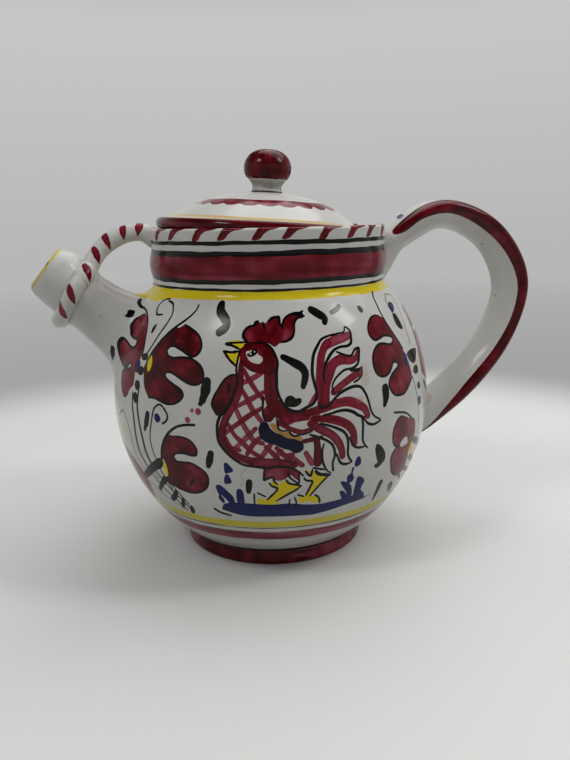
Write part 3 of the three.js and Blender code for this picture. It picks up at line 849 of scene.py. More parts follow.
def paint_outline(paint):
    """The bird's black outline."""
    for width, stroke in (
        # Comb and head
        (0.9, [(-17.7, 35.5), (-19, 37), (-19.2, 38.6), (-18.3, 40.7), (-16.6, 41.9), (-15.4, 41.9)]),
        (1.3, [(-15.4, 42.5), (-14.3, 43.8)]),
        (0.8, [(-12.5, 43.4), (-11.8, 40.9)]),
        (0.9, [(-10.6, 43.6), (-9.1, 45.1), (-6.5, 45.7), (-6.5, 45.7), (-6.2, 42.3), (-5.4, 40.7)]),
        (0.9, [(-5.5, 41.5), (-5.2, 43.2), (-4, 45.2), (-1.6, 46.6), (2.3, 47)]),
        (0.8, [
            (2.3, 46.6), (2.5, 45.3), (0.3, 44.8), (-1.1, 42.6), (-1.5, 39.3), (-2.5, 36.8), (-4.5, 35.4),
            (-6.5, 35),
        ]),
        (0.7, [(-25, 34.8), (-21.3, 35.1), (-17.7, 35.4)]),
        (0.8, [(-25, 34.4), (-22.7, 33.9), (-20, 32.5)]),
        (0.8, [(-25.5, 31.6), (-22.7, 31.3), (-20.4, 31.7)]),
        (0.8, [(-25.4, 31.5), (-23.4, 28.6), (-20.9, 25.9)]),
        # Breast and belly
        (0.9, [
            (-20, 31.8), (-20.6, 28.2), (-20.8, 24.5), (-20.4, 20.9), (-20.4, 18.6), (-21.3, 15.5),
            (-22.5, 12), (-23.6, 9.5), (-25.75, 6.6), (-26.5, 4.1), (-26.75, 0.9), (-26.5, -3.2),
            (-25.6, -5.5), (-23.8, -8.2), (-21.6, -10.7), (-18.8, -12.7), (-15.2, -13.4), (-12, -14),
            (-8.8, -13.7), (-5.6, -13.9), (-3.4, -15), (-1.6, -16.8), (-0.6, -18.2),
        ]),
        (0.7, LOBE + [(-26.8, 7.2)]),
        (0.9, [(-22.9, 19.5), (-23.2, 15.5)]),
        (0.7, [(-12.5, 14.5), (-12.6, 8), (-12, 5)]),
        (0.6, [
            (-8.6, 6.8), (-8.4, 4.1), (-7.9, 1.8), (-6.3, 1.1), (-5, 1.4), (-4.7, 0.2), (-3.4, -1.1),
            (-1.6, -0.7), (0.1, -0.5), (1.9, 0.7),
        ]),
        # Back of the neck, on into the first tail feather
        (0.9, [
            (-14.9, 35.2), (-11.3, 34.5), (-9.5, 32.7), (-8.4, 30), (-7.8, 27.3), (-8.1, 24.1),
            (-8.25, 20.5), (-8.25, 17.3), (-7.7, 14.5), (-6.6, 11.8), (-5.2, 9.8), (-3.4, 8.6), (-1.6, 8.5),
            (0.1, 9.5), (2.6, 11), (3.7, 13.3), (3.9, 15.5), (3.4, 18.7), (3, 22.4), (3.4, 26.5),
            (4.3, 30.1), (5.9, 33), (7.6, 35.3), (10.5, 36.5), (14.1, 37.1), (16.9, 37.6), (17.5, 39.4),
        ]),
        (0.9, [
            (17.6, 39.4), (18.4, 39.2), (19.4, 37.4), (19.1, 35.1), (18.4, 32.8), (16.9, 31.8),
            (14.1, 31.7), (11.6, 30.8), (9.8, 29), (8.4, 26.9), (7.1, 24.2), (6.6, 20.5), (6.9, 18.5),
        ]),
        # Thigh fringe and legs
        (0.8, [(-12.6, -14), (-13, -19.6), (-13, -19.6), (-10.1, -18.2), (-9.8, -20), (-8.8, -21.7)]),
        (0.8, [(-6, -19.7), (-5, -21.4), (-2.5, -22.3), (-1.1, -23)]),
        (0.7, [(-5.4, -15.2), (-5, -18.2), (-2, -21.8)]),
        (0.7, [(-2, -16.4), (-1.8, -21.8)]),
        (0.8, [(-11.3, -20.9), (-10.6, -22.3), (-8.8, -23.6), (-9.1, -24.8), (-10.6, -27), (-12.2, -29.3)]),
        (0.8, [(-1.1, -23), (-2.4, -24.5), (-5.6, -27), (-9.1, -30)]),
        (0.7, [(-15.2, -25.7), (-12.7, -27.7)]),
        (0.8, [(-0.2, -19.5), (0.5, -20.6), (2.5, -21.3), (1.9, -24), (0.7, -27.9)]),
        (0.8, [(8, -19.2), (6.2, -21.7), (3.9, -25.4), (2.1, -28.5)]),
        (1.2, [(3.4, -16.7), (4.4, -18.1), (6.4, -18.8), (8.2, -19.2)]),
        (0.8, [(2.6, -15.1), (6.2, -16.4)]),
        (0.8, [(0.1, -16.3), (1.2, -18.1), (1.9, -18.8), (1.9, -18.8), (2.3, -15.8)]),
        (0.8, [(3.9, -28.3), (5.3, -29.9), (6, -33)]),
        (0.7, [(-2, -27.4), (0.1, -28.5)]),
        (0.6, [(-16.4, -26.1), (-16.6, -32.7)]),
        (0.6, [(-4.7, -29.5), (-5, -34)]),
        (0.6, [(-3.1, -28.6), (-2.4, -31.4), (-2.5, -34.5)]),
    ):
        paint.line(BLACK, stroke, width * 1.05, width * 1.45, width * 1.25, width * 1.45, width * 0.9)


def paint_tail(paint):
    """Seven drooping tail feathers, each a crimson stroke in a black outline."""
    pale = 0.58
    paint.wash_line([
        (0.1, 7.4), (5.1, 8.7), (10.1, 10.1), (14.1, 10.3), (17.3, 8.7), (19.8, 6.5), (20.9, 3.5),
    ], 3.0, 3.6, 3.9, 3.6, 2.6, fade=0.35, cover=FULL)
    paint.wash_line([
        (2.6, 5.1), (6.9, 4.6), (10.5, 3.3), (13.7, 1), (15.5, -2.2), (16, -6.8),
    ], 2.6, 3.3, 3.3, 3.0, fade=0.35, cover=FULL)
    paint.wash_line([
        (1.6, 3.3), (5.1, 0.5), (8.4, -2.2), (10.5, -5.4), (11.75, -9), (12.1, -11.6),
    ], 3.0, 3.6, 3.4, 2.8, fade=0.35, cover=FULL)
    paint.wash_line([
        (9.4, 14.6), (12.3, 16.9), (15.9, 19.2), (19.4, 21),
    ], 2.6, 3.0, 2.8, fade=0.35, cover=FULL)
    paint.wash_line([
        (6.2, 10.5), (6.9, 16.9), (8.4, 21.9), (10.5, 25.5), (13.7, 27),
    ], 3.6, 4.4, 4.0, fade=0.35, cover=FULL)
    paint.wash_line([(12.5, 26.8), (16.6, 26), (19, 26.8), (20.3, 29.4)], 3.6, 3.4, 1.2, cover=pale)
    paint.wash_line([
        (5.1, 9.6), (5.1, 16.5), (5.7, 23.3), (6.6, 28.7), (8.4, 32.4), (9.8, 33.8),
    ], 3.2, 3.4, 3.4, 3.2, fade=0.35, cover=FULL)
    paint.wash_line([(8.7, 32.8), (12.3, 34.4), (15.9, 35.1), (18.4, 36)], 3.4, 4.0, 3.0, cover=pale)
    paint.oval(CRIMSON, (2.6, 6.1), 1.9, 2.2, 0.4, True)
    paint.wash([(0.9, 10.3), (3, 11.2), (3.7, 13.5), (3.8, 15.5), (2.2, 13.2)], 0.5)
    for width, stroke in (
        (0.8, [
            (12.3, 29.9), (15.1, 28.3), (17.3, 27.8), (19.4, 30.1), (21.2, 30.5), (21.2, 30.5),
            (20.5, 27.8), (19.4, 24.6), (17.3, 23), (14.1, 22.6), (11.9, 21.2), (10.1, 19.2), (9.1, 16.7),
            (9.6, 14.2),
        ]),
        (1.1, [(16.2, 22.1), (18.7, 21.9), (20.5, 22.6)]),
        (0.8, [(20.5, 22.4), (20.1, 20.1), (18.7, 18.3), (16.9, 17.4)]),
        (0.9, [
            (4.4, 11), (5.1, 9.2), (7.3, 9.6), (9.4, 11.9), (11.6, 14), (14.4, 15.3), (16.9, 15.8),
            (19.1, 15.1), (20.5, 12.6), (21.4, 9.6), (22.1, 6), (23, 3.5), (24.4, 1.9), (25.9, 1),
        ]),
        (0.9, [(26.2, 0.3), (23.7, -0.6), (21.6, -0.1), (20.1, 1.5), (19.4, 3.3)]),
        (0.9, [
            (5.7, 6.2), (8, 6.5), (10.5, 7.1), (13, 7.1), (15.5, 6), (17.5, 4.2), (18.5, 3.7), (19.1, 0.5),
            (19.1, -3.1), (19.25, -6.3), (20.1, -8.5), (21.2, -9.9),
        ]),
        (0.9, [(19.8, -9.2), (18, -9.2), (16.2, -8.3), (15.1, -6.3), (14.4, -4.2)]),
        (0.9, [
            (4.8, 3), (7.3, 1.9), (10.1, 0.3), (12.3, -1.5), (13.5, -3.8), (13.9, -7.2), (13.9, -10.4),
            (14.4, -12.6), (15.5, -14.5),
        ]),
        (0.9, [(15.5, -14.9), (13.7, -15.4), (11.9, -14.7), (10.7, -12.4), (10.1, -10.4)]),
        (0.9, [
            (1.4, -1), (4.1, -2.4), (6.6, -4), (8.4, -6), (9.25, -8.5), (9.4, -11.3), (8.9, -13.5),
            (9.25, -17.4),
        ]),
        (0.8, [(5.7, -5.4), (5.3, -7.6), (5.3, -11.3), (6, -14.5), (7.3, -17.2), (8.5, -18.3)]),
    ):
        paint.line(BLACK, stroke, width, width * 1.4, width * 1.25, width)


def paint_ground(paint):
    """Dark ground under the bird, with tufts and floating leaves."""
    for leaf in (
        [
            (-28.8, -35.8), (-28.8, -35.8), (-27.4, -32.5), (-23.3, -31.2), (-20, -31.2), (-15.2, -31.6),
            (-10, -31.9), (-5.6, -31.6), (-2.4, -32.1), (0.1, -32.8), (6.2, -33.6), (10.1, -33.3),
            (14.4, -32.9), (18, -32.3), (20.9, -32.7), (23, -33.6), (24.6, -35.2), (28.5, -34.7),
            (28.5, -34.7), (24.8, -36.2), (21.2, -36.7), (15.9, -37.4), (12.3, -38.3), (8.7, -39),
            (4.4, -39.7), (0.1, -39.5), (-7, -39.2), (-12, -39.1), (-16.6, -39.1), (-21.3, -38.6),
            (-24.9, -37.5),
        ],
        [
            (-29, -23), (-27.4, -22.7), (-25.6, -25), (-23.8, -27.7), (-23.3, -30), (-23.4, -31.5),
            (-25.2, -31.9), (-26.2, -29.9), (-27.9, -27.7), (-26.9, -30.4), (-27.4, -32.3), (-29, -29.5),
            (-28.6, -27.7), (-29, -25.9),
        ],
        [
            (-22.4, -26.4), (-21.8, -24.1), (-20.9, -23.9), (-20, -25.2), (-19.9, -27.3), (-20.2, -31.6),
            (-22.2, -31.6),
        ],
        [
            (-25.2, -12.3), (-24.3, -12), (-24.3, -12), (-22.5, -15), (-22.7, -15.9), (-24.1, -16.6),
            (-25.2, -16.8), (-25.4, -14),
        ],
        [(-25, -17.3), (-24.3, -17.3), (-23.4, -20.9), (-23.8, -21.4), (-25.8, -21.8), (-25.9, -20)],
        [
            (12.6, -23.5), (14.1, -23.8), (16.6, -25.8), (18, -29.9), (18, -32.4), (16.9, -32.8),
            (15.5, -29.5), (13.4, -25.8),
        ],
        [(12.8, -28.5), (14.1, -28.5), (15.9, -30.8), (16.6, -32.8), (14.8, -33.3), (13.4, -30.4)],
        [
            (19.1, -22.9), (20.1, -22.9), (22.5, -25.8), (21.9, -28.1), (21.9, -30.4), (23.7, -32.6),
            (24.6, -35.1), (20.1, -33.6), (19.1, -32.8), (18.7, -27.6),
        ],
        [
            (17.8, -13.1), (18.5, -13.1), (19.4, -16.3), (18.7, -17.4), (17.3, -17.6), (16.9, -15.4),
            (17.5, -13.5),
        ],
        [
            (16.2, -17.6), (16.9, -17.6), (16.75, -20.4), (17.6, -23.1), (17.1, -24.5), (15.5, -25.1),
            (14.8, -21.3), (15.9, -20.4),
        ],
    ):
        paint.fill(NAVY, leaf)


def paint_left_flowers(paint):
    """Flower spray on the left, by the spout."""
    paint_left_petals(paint)
    paint_left_stems(paint)
    paint_left_leaves(paint)


def paint_left_petals(paint):
    """Washes of the four blooms, their hearts and their black outlines."""
    upper = [
        (-46.9, 40.2), (-45.1, 40), (-42.6, 41.5), (-40.1, 40.5), (-36.9, 38.6), (-34.8, 36.4),
        (-33.7, 33.2), (-34.25, 30.5), (-36.2, 28.9), (-38.4, 29.5), (-40.9, 30.9), (-43, 31.8),
        (-45.1, 32.4), (-46.9, 31.8), (-47.6, 30.2), (-46.6, 28.4), (-44.4, 27.7), (-41.2, 28.2),
        (-37.6, 28.2), (-34.8, 27), (-32.6, 25), (-31.6, 21.8), (-32.3, 19.1), (-34.8, 18), (-37.3, 18.6),
        (-40.1, 20), (-42.6, 21.4), (-44.8, 22), (-46.4, 21.4), (-46.2, 19.8), (-44.8, 18.6), (-41.9, 17),
        (-39.4, 15.5), (-38.5, 13.6), (-39.4, 11.6), (-41.9, 9.8), (-44.8, 9.3), (-47.6, 10), (-50.5, 10.7),
        (-53, 10.5),
    ]
    paint.wash(upper + [
        (-54.1, 11.6), (-55.9, 14.5), (-56.6, 17.3), (-57.3, 21.4), (-55.9, 25.9), (-54.1, 30),
        (-51.6, 34.3), (-49.1, 37.7),
    ], 1.3)
    side = [
        (-67.5, 42.8), (-69.8, 43.6), (-71.8, 43.2), (-74.2, 41.8), (-74.2, 39.5), (-73.8, 36.8),
        (-73, 34.5), (-72.5, 33), (-70.5, 32.2), (-68, 32.4), (-67, 31.6), (-66.8, 30.3), (-67.5, 29),
        (-69.8, 28.5), (-72, 28.8), (-74, 29.9), (-74.8, 28), (-75.3, 26), (-75.6, 23.6), (-75.6, 21.3),
        (-74.9, 20), (-73.2, 19.5), (-71, 19.5), (-69, 20.2), (-67.4, 22), (-66.4, 21.9), (-66, 20.6),
        (-68, 19.4), (-71.8, 18.5), (-73.5, 16.8), (-73.2, 14.2), (-72.2, 11), (-70.8, 8.8), (-69.2, 7.5),
        (-67.5, 7.8), (-65.8, 9.8), (-64.2, 12), (-62.5, 13.8), (-62.3, 16), (-62.6, 19.5), (-63.1, 22),
        (-60.9, 24.6), (-60.3, 27), (-60.9, 30), (-62, 35.2), (-63.2, 38.5), (-65, 41),
    ]
    paint.wash(side, 0.85)
    lower = [
        (-44, -3.2), (-41.6, -3.2), (-39.1, -3.2), (-36.6, -3.9), (-34.9, -5.7), (-34.1, -8), (-34.5, -10),
        (-36.3, -10.4), (-38.4, -10), (-40.9, -10.2), (-42.7, -11), (-43.3, -12.5), (-42.4, -14.1),
        (-39.9, -14.1), (-37, -13.9), (-34.1, -15.3), (-32, -17.5), (-31.4, -19.8), (-32, -23.5),
        (-33.8, -26.2), (-36.3, -28), (-39.9, -28.8), (-43.4, -28.2), (-46.3, -27.1), (-48.1, -25.7),
        (-48.8, -23.5),
    ]
    paint.wash(lower + [(-47.4, -19.8), (-47.7, -15.7), (-48.5, -13), (-48, -10), (-46.5, -6)], 1.15)
    paint.wash([
        (-81, -14), (-75, -17), (-70, -19.5), (-65.8, -23.2), (-63, -28.2), (-62.8, -33.8), (-64.2, -38.2),
        (-69, -43), (-72, -40.2), (-75.2, -32.8), (-78, -26), (-81, -19),
    ], 0.75)
    paint.line(BLACK, [(-75, -20), (-71, -20.8), (-66.5, -24.5), (-63, -26.5)], 1.2, 1.6, 0.9, cover=0.8)
    for pigment, centre, wide, high in (
        (YELLOW, (-54.8, 24.1), 1.2, 3.3), (YELLOW, (-48.3, -19), 0.95, 3.6), (NAVY, (-61.6, 21.8), 1.9, 2.7),
        (BLACK, (-58.2, 26.2), 1.9, 1.6), (BLACK, (-59.2, 20.3), 1.9, 2.0), (BLACK, (-60, 14.2), 1.6, 2.2),
        (BLACK, (-60.5, 8.9), 1.6, 2.3), (NAVY, (-48.8, 2.9), 1.5, 1.8),
    ):
        paint.oval(pigment, centre, wide, high)
    for outline in (upper[2:], side[1:36], lower[1:]):
        paint.line(BLACK, outline, 0.8, 1.1, 0.9, 1.1, 0.8)


def paint_left_stems(paint):
    """Black stems, tendrils and short dashes."""
    for widths, stroke in (
        ((1.0, 1.3, 1.0), [
            (-57.3, 21.4), (-55.9, 25.9), (-54.1, 30), (-51.6, 34.3), (-49.1, 37.7), (-46.2, 40.7),
            (-43.7, 43), (-41.2, 45.7), (-39.8, 48.2), (-39.5, 50.5),
        ]),
        ((0.9, 1.1, 1.1), [
            (-82, 49.8), (-80, 48.2), (-78.5, 47.2), (-76.2, 46.2), (-71.2, 45.2), (-68.2, 43.8),
            (-64.8, 41), (-62.8, 37.5), (-61.3, 33), (-60.2, 28.8), (-60, 26.5),
        ]),
        ((1.6, 2.6, 1.8), [(-58, 39.6), (-58.4, 38.4), (-58.7, 37)]),
        ((1.0, 1.6, 0.6), [(-77.3, 23), (-78.2, 20.8), (-80.2, 17.4)]),
        ((1.3, 1.8, 1.6, 1.0), [(-77, 43.2), (-76.6, 42.2), (-76, 41), (-76, 39.6)]),
        ((1.0, 1.5, 1.3), [
            (-62.5, 10.5), (-62.3, 5.2), (-61.8, -0.5), (-61.8, -7.5), (-61.3, -14), (-59.7, -18.8),
            (-58.5, -21.5),
        ]),
        ((1.0, 1.5, 1.3), [
            (-58.8, 12.5), (-59.2, 6.2), (-58.5, -0.8), (-57.5, -8), (-56.8, -14.2), (-55.5, -18.5),
        ]),
        ((0.9, 1.1, 0.9), [
            (-57.4, 28), (-56.3, 30.3), (-54.9, 33.9), (-53.25, 38), (-51.8, 41.6), (-51.1, 45.3),
            (-52, 48), (-53.8, 50.3), (-57.4, 51.4),
        ]),
        ((0.9, 1.1, 0.9), [
            (-57.4, 52.3), (-59.9, 52.1), (-62, 50.5), (-62.7, 48.7), (-62, 46.2), (-60.4, 44.6),
            (-56.8, 44.9),
        ]),
        ((0.7, 0.9), [
            (-52.2, -14.8), (-52.9, -10.7), (-53.1, -6.2), (-52.4, -2.1), (-51.5, 1.5), (-50.9, 4.3),
            (-49.9, 7), (-47.7, 8.6), (-45.6, 7), (-44.3, 4.5), (-44.9, 2.5), (-46.5, 1.1),
        ]),
        ((1.1, 1.4), [
            (-34.3, 2.5), (-37.7, 2), (-40.6, 0.9), (-42.7, -0.7), (-44.7, -3), (-46.6, -6.2),
            (-48.1, -10.3), (-48.8, -14.4),
        ]),
        ((0.8, 0.9), [(-58.5, -21.5), (-56, -26), (-52, -31), (-47.5, -36.5), (-45, -40.5)]),
        ((0.8, 0.9), [(-55.5, -18.5), (-52.8, -23.5), (-49.5, -28.5), (-46, -33.5), (-43.2, -38.5)]),
        ((0.8, 0.9), [(-52, -15.5), (-51, -20.5), (-48.8, -25.5), (-45.5, -30.5), (-42.6, -36.3)]),
        ((0.7,), [(-49.1, -26.2), (-48.1, -29.4)]),
        ((0.7,), [(-54.9, -23), (-53.8, -25.7)]),
        ((2.4, 3.0, 1.8), [(-53.4, 3.7), (-54.2, 0.3), (-55.6, -3.5)]),
        ((1.2, 1.6), [(-38.8, -24.6), (-37.4, -22.6)]),
    ):
        paint.line(BLACK, stroke, *widths)


def paint_left_leaves(paint):
    """Black leaves, the grey lines behind them and faint crimson smears."""
    for blade in (
        [
            (-49.8, -14.5), (-48.5, -15.8), (-49.8, -19), (-53.5, -21.5), (-59.5, -26.5), (-63.2, -28.8),
            (-64, -27.2), (-58.2, -21.2), (-53.7, -17.2),
        ],
        [
            (-50.2, -23.2), (-48.8, -23.8), (-49, -25.5), (-53.2, -30), (-55.8, -33.2), (-56.5, -32),
            (-53.5, -27.2),
        ],
        [(-46.2, -29), (-45.8, -30.5), (-46.8, -33.2), (-50.5, -37), (-51.5, -35.8), (-48.8, -32)],
        [(-44.5, -32.5), (-44, -34.2), (-44.8, -37.2), (-46.8, -40.2), (-47.2, -38.2), (-45.8, -35.2)],
        [(-41.8, -36.5), (-41, -38.2), (-41.8, -41.5), (-43.5, -42.2), (-43.2, -39)],
    ):
        paint.fill(BLACK, blade)
    paint.line(GREY, [
        (-75.2, -2.5), (-73.1, -0.4), (-70.2, 0.7), (-68.1, -2.1), (-66.3, -6.2), (-65.6, -10.7),
        (-65, -16.2), (-63.8, -20.7), (-61.6, -23.5),
    ], 1.0, 1.2, 0.9, cover=0.7)
    paint.line(GREY, [
        (-61.3, -29.8), (-57.7, -32.5), (-53.4, -35.7), (-48.8, -38.5), (-44.9, -40.7),
    ], 0.8, cover=0.6)
    paint.oval(YELLOW, (-72, -8), 1.6, 2.2, 0.8)
    paint.line(GREY, [(-81, 9.5), (-79, 4.8)], 1.2, cover=0.8)
    for centre, size in (((-36.6, 4.2), 1.0), ((-32.9, 7.9), 1.1), ((-35, 8.1), 0.7)):
        paint.oval(CRIMSON, centre, size, size * 1.2, 0.4, True)


def paint_right_flowers(paint):
    """Flower spray on the right, by the handle."""
    upper = [
        (38.3, 41), (36.5, 42.1), (34.4, 42.6), (31.5, 41.9), (29.4, 40.1), (27.9, 37.8), (27.4, 35.5),
        (27.9, 33.5), (29.4, 32.4), (31.9, 32.8), (34.4, 33.5), (37.2, 33), (39, 31.9), (38.6, 30.3),
        (37.2, 29.4), (35.4, 29.6), (33.3, 30.3), (30.8, 30.5), (28.3, 29.2), (26.3, 26.5), (25.5, 22.8),
        (26.1, 19.6), (27.9, 17.8), (30.1, 17.5), (32.2, 18.5), (34, 20.5), (35.1, 22), (36.5, 22.1),
        (37.75, 21), (37.2, 19.6), (35.1, 18.5), (32.9, 16.9), (31.3, 14.2), (31.7, 11.5), (33.3, 9.2),
        (35.8, 8.3), (38.3, 8.3), (40.4, 9.2), (42.9, 11.2), (45.4, 13.3),
    ]
    paint.wash(upper + [
        (45.6, 16), (45.1, 19.6), (43.3, 26.5), (41.9, 30.5), (40.4, 34.6), (39, 38.7),
    ], 0.95)
    lower = [
        (36.9, -0.7), (34.7, -1.6), (33.1, -4.5), (32.6, -7.7), (33.3, -11.4), (35.1, -13.6), (36.9, -13.9),
        (34.7, -15), (33.5, -18.2), (34.4, -21.8), (36.1, -25.9), (39, -28.9), (42.6, -30.5), (45.4, -30),
        (47.2, -27.3), (46.9, -23.6), (47.5, -17), (48.3, -11.8), (47.6, -7.7), (46.9, -5.7), (45.1, -4.1),
        (41.9, -3.2), (39, -1.4),
    ]
    paint.wash(lower, 0.85)
    paint.fill(WHITE, [
        (37.6, -13.2), (39.7, -11.4), (41.5, -11.4), (42.75, -14.8), (40.8, -15.2), (38.3, -15),
    ])
    beyond = [(102 - a, h) for a, h in upper]
    paint.wash(beyond + [(56.4, 16), (57, 19.6), (58.7, 26.5), (60.1, 30.5), (61.6, 34.6), (63, 38.7)], 0.7)
    paint.line(BLACK, beyond[1:], 0.8, 1.0, 0.8)
    for pigment, centre, wide, high in (
        (NAVY, (43.3, 21.7), 1.5, 3.0), (YELLOW, (47.4, -19.1), 1.5, 3.6), (BLACK, (49.9, 15.7), 2.4, 2.0),
        (BLACK, (50.5, 8.6), 1.5, 1.7), (BLACK, (50.4, 2), 1.9, 2.1), (GREY, (28.1, 46.3), 1.3, 1.7),
    ):
        paint.oval(pigment, centre, wide, high)
    paint.fill(BLACK, [
        (45.1, 23.3), (47.2, 24.4), (52.2, 24.6), (55.4, 23.5), (53.6, 21.5), (51.1, 19), (48.6, 18.7),
        (46.1, 20.5),
    ])
    paint.fill(NAVY, [(47.2, 45.5), (49.7, 46.9), (52.9, 46.2), (52.6, 44.6), (49.7, 42.6), (47.2, 42)])
    paint.fill(BLACK, [
        (46.9, 41.5), (49.7, 41), (50.25, 37.8), (50.1, 34.2), (48.6, 34), (46.5, 35.1), (45.6, 37.4),
    ])
    paint.line(BLACK, upper[1:], 0.8, 1.1, 0.9, 1.1, 0.8)
    paint.line(BLACK, lower[:14], 0.8, 1.0, 0.8)
    for widths, stroke in (
        ((1.0, 1.2), [
            (43, 53.6), (41.5, 52.4), (40.1, 50.5), (39.2, 46.9), (38.6, 42.8), (39.2, 38.7), (40.4, 34.6),
            (41.9, 30.5), (43.3, 26.5),
        ]),
        ((0.9, 1.1), [(32.75, 1.8), (35.8, 1.1), (39, 0), (41.9, -2), (44, -4.1)]),
        ((3.0, 2.6), [(49, -15.5), (56.1, -19.1), (63.3, -22.3), (70, -25.5)]),
        ((2.8, 2.4), [(49, -23.6), (56, -27.7), (63, -31), (70, -33.6)]),
        ((2.5, 2.0), [(46.9, -28.6), (52.6, -31.8), (59.7, -35), (66.9, -39)]),
        ((2.0, 1.4), [(44, -30.9), (46.9, -34.5)]),
    ):
        paint.line(BLACK, stroke, *widths)
    paint.line(GREY, [
        (46, 13.7), (46.9, 9.6), (47.9, 5.5), (48.6, 2.3), (49.7, -2.7), (50.8, -8.2), (51.5, -13.6),
    ], 0.8, cover=0.8)
    paint.line(GREY, [
        (47.2, 46.9), (49.7, 49.2), (52.6, 50.8), (55, 50.3), (58.3, 49.2), (56, 42), (53.6, 36),
        (51.9, 30.5), (50.4, 27),
    ], 0.8, cover=0.8)


def paint_dashes(paint):
    """Loose curved dashes between the figures."""
    for widths, stroke in (
        ((3.0, 3.4, 2.8), [
            (-29.4, 51.3), (-29, 48.2), (-27.2, 45.7), (-25.75, 43.4), (-25.9, 41.1), (-27.9, 39.2),
        ]),
        ((1.8, 2.7, 2.7, 1.6), [
            (-6, 29.3), (-4.9, 28.6), (-2.4, 26.8), (-0.2, 25), (0.7, 22.7), (0.5, 20.5), (-0.2, 17.7),
        ]),
        ((2.8, 3.2, 2.0), [(6.2, 48), (8.6, 46), (10.6, 44), (10.2, 42.2)]),
        ((3.0, 3.2, 2.4), [(-30.4, 19.5), (-30.7, 16), (-31.5, 12.5)]),
        ((3.2, 2.8, 1.5), [(29.2, 12.6), (29, 9.2), (28.1, 6)]),
        ((2.3, 2.4, 1.6), [(-29.3, -8.6), (-29.9, -11.4), (-30.6, -14.3)]),
        ((2.0, 2.3, 1.5), [(-17.7, -20.3), (-18.2, -25.3)]),
        ((1.0, 1.2, 0.8), [(-31.6, -36.1), (-29.9, -37.7), (-26.1, -39.3)]),
        ((2.4, 2.2, 1.3), [(31.5, -30), (31.3, -34.5), (31.5, -39.8)]),
        ((2.6, 2.8, 2.0), [(39.4, -34.5), (42.6, -39)]),
        ((2.2, 2.0), [(58, 8), (63, 2)]),
    ):
        paint.line(BLACK, stroke, *[1.3 * width for width in widths])
    paint.line(GREY, [(14.1, 46.2), (16.8, 47.4), (18.6, 48.8)], 2.2, 2.5, 1.8)
    paint.oval(BLACK, (-32.2, 11), 0.8, 1.0)
    paint.fill(BLACK, [
        (-6.1, 12.3), (-5.5, 14.1), (-4.4, 14.6), (-3.3, 14.2), (-2.7, 13.4), (-1.7, 13.6), (-0.9, 13),
        (-1.1, 11.6), (-2, 10.6), (-3.8, 10.1), (-5.3, 10.7),
    ])
    paint.fill(BLACK, [
        (25.1, -9.5), (24.7, -11.8), (26.1, -16.8), (26.7, -18.2), (25.4, -19.1), (26.1, -20.7),
        (27.6, -20.9), (30.1, -18.2), (29.9, -15.5), (28.3, -12.3), (26.9, -10.5),
    ])
    # Stains under the glaze and a hair crack
    chance = np.random.default_rng(8)
    for a, h, wide, high, number in ((21.2, 19.5, 2.0, 4.6, 26), (18.4, 10.4, 1.6, 1.6, 12)):
        paint.oval(TAN, (a, h), wide, high, 0.14)
        for _ in range(number):
            spot = (a + wide * chance.normal(0, 0.5), h + high * chance.normal(0, 0.5))
            speck_wide = chance.uniform(0.12, 0.3)
            speck_high = chance.uniform(0.15, 0.45)
            paint.oval(RUST, spot, speck_wide, speck_high, chance.uniform(0.25, 0.6))
    paint.line(GREY, [(-18, -14.4), (-20, -17), (-19.6, -20), (-21, -23)], 0.25, cover=0.5)


def paint_back(paint):
    """The unseen side: the same sprays and dashes go on round."""
    for centre, lean in ((112, 1), (168, -1), (-150, 1), (-116, -1)):
        for height, size in ((24, 1.0), (-14, 0.9)):
            lobes = [
                (0, 17), (4, 17.5), (8, 14), (9, 9.5), (5, 7), (1, 8.5), (-1.5, 7), (1, 4.5), (7, 4.5),
                (11, 1), (11, -4), (7, -6.5), (2, -4), (-2, -3), (-1, -6), (3, -8), (4, -11), (0, -14),
                (-5, -14), (-9, -10), (-10.5, -3), (-8.5, 5), (-5, 12),
            ]
            bloom = [(centre + lean * size * x, height + size * y) for x, y in lobes]
            paint.wash(bloom, 1.3)
            paint.line(BLACK, bloom[:19], 0.6, 0.8, 0.7, 0.6, cover=0.9)
            paint.oval(YELLOW, (centre - lean * 8.3 * size, height + 1), 1.1, 3.0)
        stem = centre - lean * 9
        paint.line(BLACK, [
            (stem + lean * 16, 50), (stem + lean * 12, 45), (stem + lean * 5, 38), (stem, 26),
        ], 1.0, 1.3)
        paint.line(BLACK, [
            (stem - lean * 2, 24), (stem - lean * 2.5, 8), (stem - lean * 1.5, -10), (stem, -22),
        ], 1.1)
        for index in range(3):
            reach = stem - lean * (3 + 2 * index)
            paint.line(BLACK, [
                (reach, -20 - 5 * index), (reach - lean * 6, -25 - 5 * index),
                (reach - lean * 10, -30 - 4 * index),
            ], 2.4, 2.2, 1.3)
    for a, h in (
        (92, -8), (140, 44), (139, 8), (140, -30), (-171, 40), (-168, -12), (-133, 46), (-133, 12),
        (-134, -28), (-99, -10), (84, -34),
    ):
        paint.line(BLACK, [(a + 1.2, h + 4), (a + 0.4, h), (a - 1.2, h - 4)], 2.6, 3.0, 1.8)


pot_paint = Paint(POT_SPAN, DEGREE)
paint_bands(pot_paint)
paint_back(pot_paint)
paint_left_flowers(pot_paint)
paint_right_flowers(pot_paint)
paint_cockerel(pot_paint)
paint_dashes(pot_paint)


